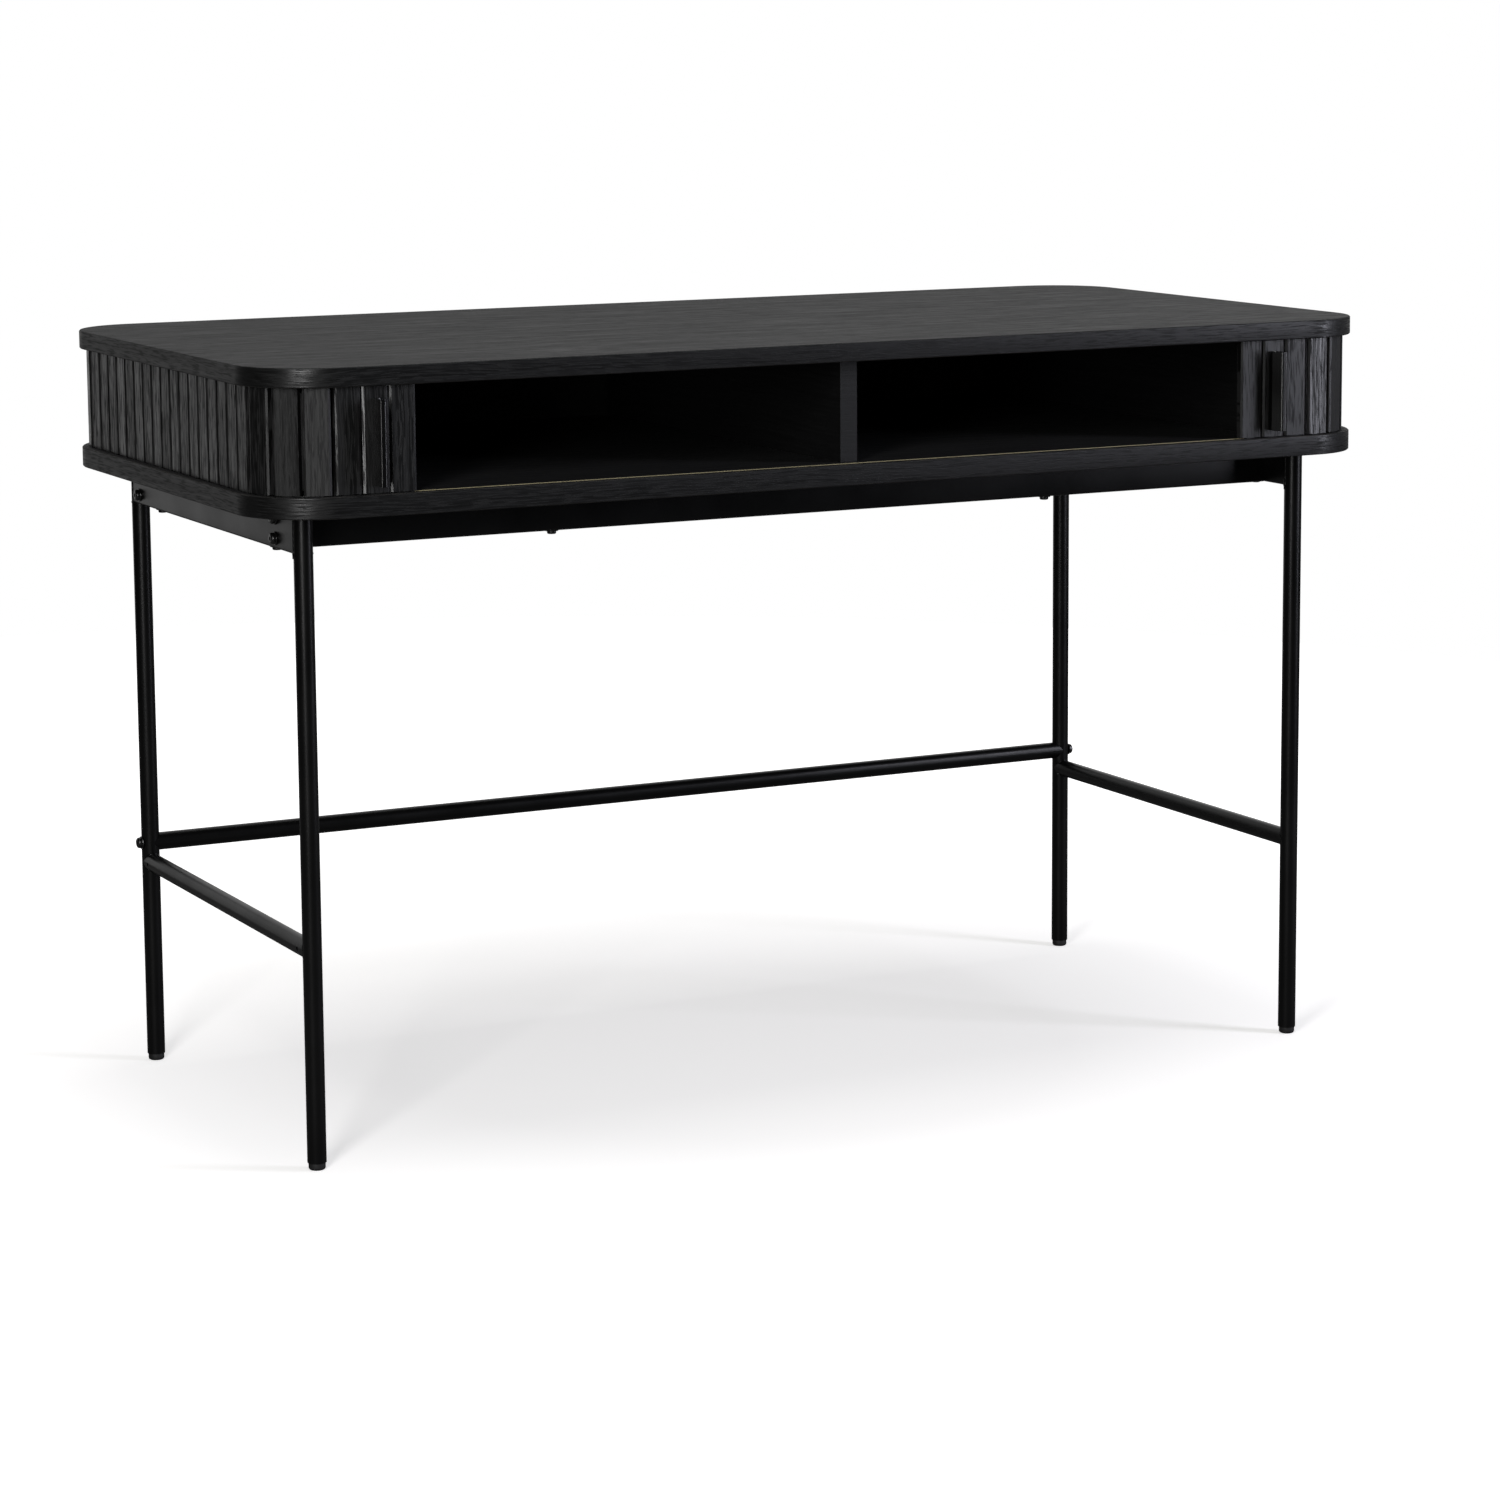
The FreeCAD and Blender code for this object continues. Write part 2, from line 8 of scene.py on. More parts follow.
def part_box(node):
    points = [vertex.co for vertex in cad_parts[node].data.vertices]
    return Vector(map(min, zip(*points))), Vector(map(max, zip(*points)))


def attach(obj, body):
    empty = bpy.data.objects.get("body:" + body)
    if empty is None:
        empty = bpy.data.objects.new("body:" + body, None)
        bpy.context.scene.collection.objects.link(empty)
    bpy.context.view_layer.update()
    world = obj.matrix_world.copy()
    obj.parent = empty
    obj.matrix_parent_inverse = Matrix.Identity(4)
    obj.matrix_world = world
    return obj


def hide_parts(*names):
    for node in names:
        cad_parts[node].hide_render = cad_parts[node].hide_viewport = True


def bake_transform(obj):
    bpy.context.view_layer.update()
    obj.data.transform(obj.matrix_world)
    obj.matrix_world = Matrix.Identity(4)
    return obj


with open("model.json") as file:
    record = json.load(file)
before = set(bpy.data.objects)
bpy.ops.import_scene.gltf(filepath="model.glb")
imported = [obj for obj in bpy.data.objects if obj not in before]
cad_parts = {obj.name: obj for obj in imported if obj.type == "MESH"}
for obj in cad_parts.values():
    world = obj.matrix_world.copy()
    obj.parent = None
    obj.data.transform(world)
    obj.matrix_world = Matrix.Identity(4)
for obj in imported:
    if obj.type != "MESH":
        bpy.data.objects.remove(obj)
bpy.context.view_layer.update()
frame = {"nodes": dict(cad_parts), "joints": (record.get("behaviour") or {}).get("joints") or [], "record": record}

# Tambour desk. Metres, +Z up, the front faces -Y, floor at z = 0.

MM = 0.001

# Case
panel_low, panel_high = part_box("top_panel")
panel_middle_y = (panel_low.y + panel_high.y) / 2
corner_radius = 76 * MM
arc_x = panel_high.x - corner_radius
arc_y = (panel_high.y - panel_low.y) / 2 - corner_radius
slat_pitch = 26.4 * MM
slat_gap = 1.4 * MM
curtain_radius = 61.5 * MM
case_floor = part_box("bottom_panel")[0].z
bay_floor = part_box("bottom_panel")[1].z
bay_roof = panel_low.z
lead_edge = {"left": -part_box("left_lead_slat")[1].x, "right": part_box("right_lead_slat")[0].x}
sides = {"left": -1, "right": 1}


# Node materials

class Finish:
    """One node material, with short ways to add nodes to it."""

    def __init__(self, name):
        self.material = bpy.data.materials.new(name)
        self.material.use_nodes = True
        self.nodes = self.material.node_tree.nodes
        self.links = self.material.node_tree.links
        self.shader = self.nodes["Principled BSDF"]
        self.place = self.nodes.new("ShaderNodeTexCoord").outputs["Object"]
        self.facing = self.nodes.new("ShaderNodeNewGeometry").outputs["Normal"]

    def fill(self, socket, value):
        """Links an output to this socket, or sets its plain value."""
        if isinstance(value, bpy.types.NodeSocket):
            self.links.new(value, socket)
        else:
            socket.default_value = value

    def set(self, **values):
        for name, value in values.items():
            self.fill(self.shader.inputs[name.replace("_", " ")], value)
        return self

    def math(self, operation, *values):
        node = self.nodes.new("ShaderNodeMath")
        node.operation = operation
        for socket, value in zip(node.inputs, values):
            self.fill(socket, value)
        return node.outputs[0]

    def split(self, vector):
        node = self.nodes.new("ShaderNodeSeparateXYZ")
        self.fill(node.inputs[0], vector)
        return node.outputs["X"], node.outputs["Y"], node.outputs["Z"]

    def join(self, *values):
        node = self.nodes.new("ShaderNodeCombineXYZ")
        for socket, value in zip(node.inputs, values):
            self.fill(socket, value)
        return node.outputs[0]

    def noise(self, vector, scale=1.0, detail=2.0, roughness=0.5):
        node = self.nodes.new("ShaderNodeTexNoise")
        self.fill(node.inputs["Vector"], vector)
        node.inputs["Scale"].default_value = scale
        node.inputs["Detail"].default_value = detail
        node.inputs["Roughness"].default_value = roughness
        return node.outputs[0]

    def chance(self, value):
        node = self.nodes.new("ShaderNodeTexWhiteNoise")
        node.noise_dimensions = "1D"
        self.fill(node.inputs["W"], value)
        return node.outputs["Value"]

    def between(self, value, low, high, out_low=0.0, out_high=1.0):
        """Maps low to high onto another range, and holds it within that range."""
        node = self.nodes.new("ShaderNodeMapRange")
        self.fill(node.inputs["Value"], value)
        node.inputs["From Min"].default_value = low
        node.inputs["From Max"].default_value = high
        node.inputs["To Min"].default_value = out_low
        node.inputs["To Max"].default_value = out_high
        return node.outputs["Result"]

    def pick(self, share, first, second):
        """Blends two numbers, sockets 2 and 3 of a mix node; a share of 0 gives the first one."""
        node = self.nodes.new("ShaderNodeMix")
        node.data_type = "FLOAT"
        self.fill(node.inputs[0], share)
        self.fill(node.inputs[2], first)
        self.fill(node.inputs[3], second)
        return node.outputs[0]

    def tint(self, share, first, second):
        """Blends two colours, sockets 6 and 7 of a mix node; a share of 0 gives the first one."""
        node = self.nodes.new("ShaderNodeMix")
        node.data_type = "RGBA"
        self.fill(node.inputs[0], share)
        self.fill(node.inputs[6], first)
        self.fill(node.inputs[7], second)
        return node.outputs[2]

    def bump(self, height, strength, distance):
        node = self.nodes.new("ShaderNodeBump")
        node.inputs["Strength"].default_value = strength
        node.inputs["Distance"].default_value = distance
        self.fill(node.inputs["Height"], height)
        return node.outputs["Normal"]


def grey(level, warmth=0.0):
    """A linear colour of this level, a little warm or cool."""
    return (level * (1 + warmth), level, level * (1 - warmth), 1)


def outline_run(finish, radius):
    """Distance along the rounded outline from the middle of the front, negative on the left."""
    x, y = finish.split(finish.place)[:2]
    back = finish.math("SUBTRACT", y, panel_middle_y)
    across = finish.math("ABSOLUTE", x)
    depth = finish.math("ABSOLUTE", back)
    past_x = finish.math("MAXIMUM", finish.math("SUBTRACT", across, arc_x), 0)
    past_y = finish.math("MAXIMUM", finish.math("SUBTRACT", depth, arc_y), 0)
    turn = finish.math("ARCTAN2", past_x, past_y)
    run = finish.math("MULTIPLY_ADD", turn, radius, finish.math("MINIMUM", across, arc_x))
    run = finish.math("SUBTRACT", finish.math("ADD", run, arc_y), finish.math("MINIMUM", depth, arc_y))
    whole = 2 * (arc_x + radius * math.pi / 2 + arc_y)
    behind = finish.math("SUBTRACT", whole, run)
    run = finish.pick(finish.math("GREATER_THAN", back, 0), run, behind)
    return run, finish.math("SIGN", x)


# Stained oak: waves per metre along and across the fibres, then what the grain does to the look

ring_waves = (3, 300)
fibre_waves = (10, 650)
pore_waves = (45, 720)
figure_waves = (9, 110)
sway_scale = 5
grain_sway = 12 * MM
pore_range = (0.52, 0.58)
streak_range = (0.38, 0.62)
ring_share = 0.5
pore_darkness = 0.6
streak_height = 0.6
pore_depth = 0.5
plain_gloss = 0.4
streak_gloss = 0.6
pore_dullness = 0.8
grain_strength = 0.35
grain_depth = 0.5 * MM
oak_dark = grey(0.0012, -0.01)
oak_light = grey(0.005, -0.01)
oak_pore = grey(0.001)


def fibrous(finish, along, across, sheet, waves, detail=3):
    """Noise drawn out along the fibres; sheet tells boards apart."""
    long_way = finish.math("MULTIPLY", along, waves[0])
    cross_way = finish.math("MULTIPLY", across, waves[1])
    return finish.noise(finish.join(long_way, cross_way, sheet), detail=detail)


def oak_grain(finish, along, across, sheet):
    """Streaks and pores of stained oak, each from 0 to 1."""
    sway = finish.noise(finish.join(along, across, sheet), scale=sway_scale)
    across = finish.math("MULTIPLY_ADD", sway, grain_sway, across)
    rings = fibrous(finish, along, across, sheet, ring_waves)
    fibres = fibrous(finish, along, across, sheet, fibre_waves)
    pores = fibrous(finish, along, across, sheet, pore_waves)
    streaks = finish.math("MULTIPLY_ADD", rings, ring_share, finish.math("MULTIPLY", fibres, 1 - ring_share))
    return finish.between(streaks, *streak_range), finish.between(pores, *pore_range)


def oak_finish(finish, along, across, sheet, shade, relief):
    """Colour, gloss share and surface of stained oak; relief scales the depth of its grain."""
    streaks, pores = oak_grain(finish, along, across, sheet)
    streaks = finish.math("MULTIPLY", streaks, shade)
    colour = finish.tint(streaks, oak_dark, oak_light)
    colour = finish.tint(finish.math("MULTIPLY", pores, pore_darkness), colour, oak_pore)
    sunk = finish.math("MULTIPLY", pores, pore_depth)
    height = finish.math("SUBTRACT", finish.math("MULTIPLY", streaks, streak_height), sunk)
    gloss = finish.math("MULTIPLY_ADD", streaks, streak_gloss, plain_gloss)
    gloss = finish.math("SUBTRACT", gloss, finish.math("MULTIPLY", pores, pore_dullness))
    surface = finish.bump(finish.math("MULTIPLY", height, relief), grain_strength, grain_depth)
    return colour, gloss, surface


# Panels: stained veneer on faces and edges, paler arrises, raw board in the groove within the doors' lead edges,
# painted shade on the groove walls further out

raw_board_dark = (0.20, 0.175, 0.10, 1)
raw_board_light = (0.50, 0.445, 0.27, 1)
crumb_scale = 420
# A paler colour along the outer arrises of the panels, broken up along the edge
pale_arris_colour = (0.034, 0.031, 0.027, 1)
arris_width = 0.45 * MM
arris_reach = 1.3 * MM
break_up_scale = 35
break_up_range = (0.35, 0.6)
groove_inset = 3 * MM
upright_limit = 0.4
short_side_limit = 0.9
edge_sheet = 4.0
face_relief = 0.8
edge_relief = 0.45
short_edge_relief = 0.2
figure_gloss = 0.3
face_roughness = (0.4, 0.9, 0.81, 0.58)
edge_roughness = (0, 0.9, 0.71, 0.33)
calm_gloss = (0.4, 0.26)


def from_core(finish):
    """Distance from the line of corner centres: the corner radius on the outer edge, less further in."""
    x, y = finish.split(finish.place)[:2]
    past_x = finish.math("MAXIMUM", finish.math("SUBTRACT", finish.math("ABSOLUTE", x), arc_x), 0)
    depth = finish.math("ABSOLUTE", finish.math("SUBTRACT", y, panel_middle_y))
    past_y = finish.math("MAXIMUM", finish.math("SUBTRACT", depth, arc_y), 0)
    square_y = finish.math("MULTIPLY", past_y, past_y)
    return finish.math("SQRT", finish.math("MULTIPLY_ADD", past_x, past_x, square_y))


def pale_arris_share(finish, core):
    """Share of a paler colour on the outer edges of the two panels, broken up along the edge."""
    z = finish.split(finish.place)[2]
    near = finish.math("ABSOLUTE", finish.math("SUBTRACT", z, bay_floor))
    for level in (case_floor, bay_roof):
        near = finish.math("MINIMUM", near, finish.math("ABSOLUTE", finish.math("SUBTRACT", z, level)))
    outer = finish.math("GREATER_THAN", core, corner_radius - arris_reach)
    broken_up = finish.between(finish.noise(finish.place, scale=break_up_scale, detail=4), *break_up_range)
    line = finish.math("LESS_THAN", near, arris_width)
    return finish.math("MULTIPLY", finish.math("MULTIPLY", line, outer), broken_up)


def raw_groove_unshaded(finish, core, upright):
    """Where the walls of the curtain groove show raw board, within the lead edges of the doors; further out they
    keep the dark veneer colour as painted shade under the slats.
    """
    x = finish.split(finish.place)[0]
    inside = finish.math("LESS_THAN", core, corner_radius - groove_inset)
    between_doors = finish.math("LESS_THAN", finish.math("ABSOLUTE", x), lead_edge["left"])
    return finish.math("MULTIPLY", between_doors, finish.math("MULTIPLY", upright, inside))


def panel_oak():
    """Stained oak veneer; the walls of the routed curtain groove show the raw board within the doors' lead edges,
    and further out keep the dark veneer as painted shade.
    """
    finish = Finish("panel_oak")
    x, y, z = finish.split(finish.place)
    face_x, _, face_z = finish.split(finish.facing)
    run, side = outline_run(finish, corner_radius)
    upright = finish.math("LESS_THAN", finish.math("ABSOLUTE", face_z), upright_limit)
    short_side = finish.math("GREATER_THAN", finish.math("ABSOLUTE", face_x), short_side_limit)
    along = finish.pick(upright, x, finish.math("MULTIPLY", run, side))
    across = finish.pick(upright, y, z)
    upper = finish.math("GREATER_THAN", z, (bay_floor + bay_roof) / 2)
    sheet = finish.math("MULTIPLY_ADD", upright, edge_sheet, upper)
    relief = finish.pick(upright, face_relief, finish.pick(short_side, edge_relief, short_edge_relief))
    colour, gloss, normal = oak_finish(finish, along, across, sheet, shade=1.0, relief=relief)
    core = from_core(finish)
    # Paler colour along the outer arrises
    colour = finish.tint(pale_arris_share(finish, core), colour, pale_arris_colour)
    board = finish.tint(finish.noise(finish.place, scale=crumb_scale), raw_board_dark, raw_board_light)
    # Raw board within the doors' lead edges; further out, under the slats at the front, corners and sides, the
    # groove walls keep the dark veneer colour as painted shade
    colour = finish.tint(raw_groove_unshaded(finish, core, upright), colour, board)
    figure = fibrous(finish, along, across, sheet, figure_waves, detail=4)
    face = finish.between(finish.math("MULTIPLY_ADD", gloss, figure_gloss, figure), *face_roughness)
    calm = finish.math("MULTIPLY_ADD", gloss, *calm_gloss)
    edge = finish.between(finish.pick(short_side, gloss, calm), *edge_roughness)
    return finish.set(Base_Color=colour, Roughness=finish.pick(upright, face, edge),
                      Specular_IOR_Level=0.4, Normal=normal).material


# Slats and inner boards: each slat draws its own grain and shade

side_draw = 60.0
sheet_spread = 37.0
slat_shade = (0.75, 1.25)
slat_relief = 0.06
slat_roughness = (0, 0.8, 0.80, 0.32)
board_sheet = 2.0
board_shade = 0.8
board_relief = 0.4


def slat_oak():
    """Stained oak slats, told apart by their count along the curtain."""
    finish = Finish("slat_oak")
    z = finish.split(finish.place)[2]
    run, side = outline_run(finish, curtain_radius)
    mean_start = (lead_edge["left"] + lead_edge["right"]) / 2 - slat_gap / 2
    swing = (lead_edge["left"] - lead_edge["right"]) / 2
    start = finish.math("MULTIPLY_ADD", side, -swing, mean_start)
    count = finish.math("FLOOR", finish.math("DIVIDE", finish.math("SUBTRACT", run, start), slat_pitch))
    draw = finish.math("MULTIPLY_ADD", count, side, finish.math("MULTIPLY", side, side_draw))
    own = finish.chance(draw)
    sheet = finish.math("MULTIPLY", own, sheet_spread)
    shade = finish.between(own, 0, 1, *slat_shade)
    colour, gloss, normal = oak_finish(finish, z, run, sheet, shade, slat_relief)
    return finish.set(Base_Color=colour, Roughness=finish.between(gloss, *slat_roughness),
                      Specular_IOR_Level=0.66, Normal=normal).material


def inner_board():
    """Plain black board of the divider, inner panels and back."""
    finish = Finish("inner_board")
    x, y, z = finish.split(finish.place)
    along = finish.math("ADD", x, y)
    colour, gloss, normal = oak_finish(finish, along, z, board_sheet, board_shade, board_relief)
    return finish.set(Base_Color=colour, Roughness=0.55, Specular_IOR_Level=0.45, Normal=normal).material


# Metal, canvas, beech and plastic

cloud_scale = 14
cloud_tint = (0.8, 1.2)
paint_spread = 0.04
peel_depth = 0.1 * MM
noise_middle = (0.3, 0.7)
thread_waves = 4200
weave_depth = 0.2 * MM
canvas_dark = grey(0.006)
canvas_light = grey(0.02)
scratch_scale = 260
scratch_tint = 0.8
scratch_spread = 0.08
beech_waves = (900, 60)
beech_dark = (0.46, 0.28, 0.15, 1)
beech_light = (0.62, 0.42, 0.25, 1)
plastic_scale = 2600
plastic_depth = 0.05 * MM
plastic_dark = grey(0.008)
plastic_light = grey(0.014)


def painted(name, level, roughness, specular, peel_scale, peel):
    """Sprayed or powder-coated metal with a fine orange peel."""
    finish = Finish(name)
    skin = finish.noise(finish.place, scale=peel_scale, detail=1)
    cloud = finish.noise(finish.place, scale=cloud_scale, detail=3)
    colour = finish.tint(cloud, *(grey(level * tint) for tint in cloud_tint))
    rough = finish.between(cloud, *noise_middle, roughness - paint_spread, roughness + paint_spread)
    return finish.set(Base_Color=colour, Roughness=rough, Specular_IOR_Level=specular,
                      Normal=finish.bump(skin, peel, peel_depth)).material


def canvas_weave():
    """Black plain-weave canvas, with its threads along and across the curtain."""
    finish = Finish("curtain_canvas")
    run = outline_run(finish, curtain_radius)[0]
    z = finish.split(finish.place)[2]
    warp = finish.math("SINE", finish.math("MULTIPLY", run, thread_waves))
    weft = finish.math("SINE", finish.math("MULTIPLY", z, thread_waves))
    weave = finish.math("MULTIPLY", warp, weft)
    colour = finish.tint(finish.between(weave, -1, 1), canvas_dark, canvas_light)
    return finish.set(Base_Color=colour, Roughness=0.9, Specular_IOR_Level=0.2,
                      Normal=finish.bump(weave, strength=0.5, distance=weave_depth)).material


def bare_metal(name, colour, roughness):
    """Plain metal with fine scratches."""
    finish = Finish(name)
    scratches = finish.noise(finish.place, scale=scratch_scale, detail=3)
    rough = finish.between(scratches, *noise_middle, roughness - scratch_spread, roughness + scratch_spread)
    scratched = tuple(scratch_tint * part for part in colour[:3]) + (1,)
    colour = finish.tint(scratches, colour, scratched)
    return finish.set(Base_Color=colour, Metallic=1.0, Roughness=rough).material


def dowel_beech():
    """Beech with its flecks drawn out along the upright dowels."""
    finish = Finish("dowel_beech")
    x, y, z = finish.split(finish.place)
    fine, coarse = beech_waves
    flecks = finish.noise(finish.join(finish.math("MULTIPLY", x, fine), finish.math("MULTIPLY", y, fine),
                                      finish.math("MULTIPLY", z, coarse)))
    return finish.set(Base_Color=finish.tint(flecks, beech_dark, beech_light), Roughness=0.6).material


def foot_plastic():
    """Moulded black plastic with a fine grain."""
    finish = Finish("foot_plastic")
    grain = finish.noise(finish.place, scale=plastic_scale, detail=2)
    colour = finish.tint(grain, plastic_dark, plastic_light)
    return finish.set(Base_Color=colour, Roughness=0.62,
                      Normal=finish.bump(grain, strength=0.2, distance=plastic_depth)).material


finishes = {
    "panel_oak": panel_oak(),
    "slat_oak": slat_oak(),
    "inner_board": inner_board(),
    "curtain_canvas": canvas_weave(),
    "handle_metal": painted("handle_metal", level=0.002, roughness=0.26, specular=0.7, peel_scale=900,
                            peel=0.06),
    "frame_paint": painted("frame_paint", level=0.003, roughness=0.32, specular=0.28, peel_scale=700,
                           peel=0.04),
    "black_bolts": painted("black_bolts", level=0.004, roughness=0.30, specular=0.8, peel_scale=1500,
                           peel=0.06),
    "foot_plastic": foot_plastic(),
    "dowel_beech": dowel_beech(),
    "insert_brass": bare_metal("insert_brass", colour=(0.72, 0.5, 0.2, 1), roughness=0.35),
    "hidden_steel": bare_metal("hidden_steel", colour=(0.55, 0.55, 0.54, 1), roughness=0.38),
}


def finish_nodes():
    """Gives every CAD node the finish of its material slot."""
    for part in frame["record"]["subparts"]:
        mesh = frame["nodes"][part["node"]].data
        mesh.materials.clear()
        mesh.materials.append(finishes[part["material_slot"]])


finish_nodes()


# Tools of the bench

merge_distance = 0.002 * MM
slack = 0.1 * MM
square_on = 0.9


def lay_down_all():
    """Leaves nothing selected."""
    bpy.ops.object.select_all(action="DESELECT")


def new_piece(name):
    """The primitive that was just added, with its place in its mesh."""
    piece = bpy.context.object
    piece.name = name
    piece.data.name = name
    bpy.ops.object.transform_apply(location=True, rotation=True, scale=True)
    return piece


def shape(piece):
    """Opens a piece in edit mode, as the only one selected."""
    lay_down_all()
    piece.select_set(True)
    bpy.context.view_layer.objects.active = piece
    bpy.ops.object.mode_set(mode="EDIT")


def done():
    """Closes edit mode."""
    bpy.ops.object.mode_set(mode="OBJECT")


def choose(piece, kind, wanted):
    """Selects the edges or faces of the open piece that are wanted."""
    bpy.ops.mesh.select_mode(type=kind)
    bpy.ops.mesh.select_all(action="DESELECT")
    mesh = bmesh.from_edit_mesh(piece.data)
    for item in mesh.edges if kind == "EDGE" else mesh.faces:
        item.select_set(wanted(item))
    mesh.select_flush_mode()
    bmesh.update_edit_mesh(piece.data)


def clean(piece, smooth_angle=35):
    """Drops imported normals, merges doubles, turns all faces outwards and smooths the shallow edges."""
    shape(piece)
    bpy.ops.mesh.customdata_custom_splitnormals_clear()
    bpy.ops.mesh.select_all(action="SELECT")
    bpy.ops.mesh.remove_doubles(threshold=merge_distance)
    bpy.ops.mesh.normals_make_consistent(inside=False)
    done()
    bpy.ops.object.shade_smooth_by_angle(angle=math.radians(smooth_angle))


def copy_to(piece, place):
    """A copy with its own mesh, moved and turned by a matrix."""
    twin = piece.copy()
    twin.data = piece.data.copy()
    twin.data.transform(place)
    bpy.context.scene.collection.objects.link(twin)
    return twin


def join_all(name, parts):
    """Joins finished parts to one piece of this name."""
    lay_down_all()
    for part in parts:
        part.select_set(True)
    bpy.context.view_layer.objects.active = parts[0]
    bpy.ops.object.join()
    parts[0].name = name
    parts[0].data.name = name
    return parts[0]


def hand_over(piece, slot, body, *nodes):
    """Gives a finished piece its material and body, and hides the nodes that it stands for."""
    piece.data.materials.clear()
    piece.data.materials.append(finishes[slot])
    if body:
        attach(piece, body)
    if nodes:
        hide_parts(*nodes)


# Dressed copies of the tubes, rails, panels, handles and washers

slot_of = {part["node"]: part["material_slot"] for part in frame["record"]["subparts"]}
body_of = {node: body for body, nodes in frame["record"]["behaviour"]["bodies"].items() for node in nodes}
rail_corner = 2.0 * MM
rail_wall = 1.5 * MM
rail_open_end = 20 * MM
handle_roll = 1.1 * MM
handle_ease = 0.5 * MM
washer_ease = 0.5 * MM


def merged_copy(node, name, smooth_angle):
    """A copy of a CAD node whose triangles are merged to one skin."""
    source = frame["nodes"][node]
    copy = bpy.data.objects.new(name, source.data.copy())
    copy.data.transform(source.matrix_world)
    bpy.context.scene.collection.objects.link(copy)
    clean(copy, smooth_angle)
    return copy


def keep_flats(piece):
    """Lets the eased edges shade round while the large faces stay flat."""
    flats = piece.modifiers.new("flat_faces", "WEIGHTED_NORMAL")
    flats.weight = 100
    flats.keep_sharp = True
    bpy.ops.object.modifier_apply(modifier=flats.name)


def ease_edges(piece, width, segments, sharper_than):
    """Rounds the edges of the active piece that turn by more than this angle."""
    ease = piece.modifiers.new("ease", "BEVEL")
    ease.width = width
    ease.segments = segments
    ease.limit_method = "ANGLE"
    ease.angle_limit = math.radians(sharper_than)
    bpy.ops.object.modifier_apply(modifier=ease.name)
    bpy.ops.object.shade_smooth_by_angle(angle=math.radians(40))
    keep_flats(piece)


def round_tube(node):
    """A leg or stretcher of round tube, smooth round its wall."""
    hand_over(merged_copy(node, node + "_tube", smooth_angle=40), slot_of[node], body_of[node], node)


def box_rail(node, along):
    """A rail of box tube along X (0) or Y (1), with its long corners rolled round."""
    low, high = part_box(node)
    lay_down_all()
    bpy.ops.mesh.primitive_cube_add(size=1, location=(low + high) / 2, scale=high - low)
    rail = new_piece(node + "_tube")
    shape(rail)
    choose(rail, "EDGE", lambda e: abs(e.verts[0].co[along] - e.verts[1].co[along]) > rail_corner)
    bpy.ops.mesh.bevel(offset=rail_corner, segments=4, affect="EDGES")
    choose(rail, "FACE", lambda f: abs(f.normal[along]) > square_on)
    bpy.ops.mesh.inset(thickness=rail_wall)
    bpy.ops.mesh.extrude_region_shrink_fatten(TRANSFORM_OT_shrink_fatten={"value": -rail_open_end})
    done()
    clean(rail, smooth_angle=30)
    hand_over(rail, slot_of[node], body_of[node], node)


def veneered_panel(node):
    """A panel whose eased edges shade round while its faces stay flat."""
    panel = merged_copy(node, node + "_veneered", smooth_angle=50)
    keep_flats(panel)
    hand_over(panel, slot_of[node], body_of[node], node)


def eased_handle(node):
    """A handle bent from sheet: its front corner and its fold are rolled round, all other edges eased."""
    handle = merged_copy(node, node + "_eased", smooth_angle=30)
    low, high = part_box(node)
    shape(handle)
    bpy.ops.mesh.select_all(action="SELECT")
    bpy.ops.mesh.dissolve_limited(angle_limit=math.radians(1))
    choose(handle, "EDGE", lambda e: max(v.co.y for v in e.verts) < low.y + slack
           and abs(e.verts[0].co.z - e.verts[1].co.z) > (high.z - low.z) / 2)
    bpy.ops.mesh.bevel(offset=handle_roll, segments=6, affect="EDGES")
    done()
    ease_edges(handle, handle_ease, segments=3, sharper_than=30)
    hand_over(handle, slot_of[node], body_of[node], node)


def eased_washers(node):
    """Pressed washers with their rims rolled round."""
    washers = merged_copy(node, node + "_eased", smooth_angle=30)
    ease_edges(washers, washer_ease, segments=2, sharper_than=60)
    hand_over(washers, slot_of[node], body_of[node], node)


def dress_nodes():
    """Hands over a dressed copy for each of these nodes."""
    for side in sides:
        for tube in ("front_leg", "rear_leg", "side_stretcher"):
            round_tube(side + "_" + tube)
        box_rail(side + "_side_rail", along=1)
        eased_handle(side + "_handle")
    round_tube("rear_stretcher")
    for rail in ("front_rail", "rear_rail"):
        box_rail(rail, along=0)
    for panel in ("top_panel", "bottom_panel"):
        veneered_panel(panel)
    for set_of in ("rail", "stretcher", "panel"):
        eased_washers(set_of + "_washers")


# Bolts: a domed head with a six-sided socket

wide_head = {"radius": 5.5 * MM, "height": 4.0 * MM, "dome": 2.2 * MM}
low_head = {"radius": 4.4 * MM, "height": 2.8 * MM, "dome": 1.3 * MM}
bolt_shank_radius = 3.0 * MM
socket_radius = 2.35 * MM
socket_depth = 1.8 * MM
washer_thickness = 1.2 * MM
rail_width = 18 * MM
end_plate = 4 * MM
leg_width = 18 * MM
plug_length = 14 * MM
plug_end_gap = 2 * MM
panel_bolt_length = 50 * MM
rail_bolt_spacing = 19 * MM
side_panel_bolt_inset = 68 * MM
rail_panel_bolt_spacing = 542 * MM


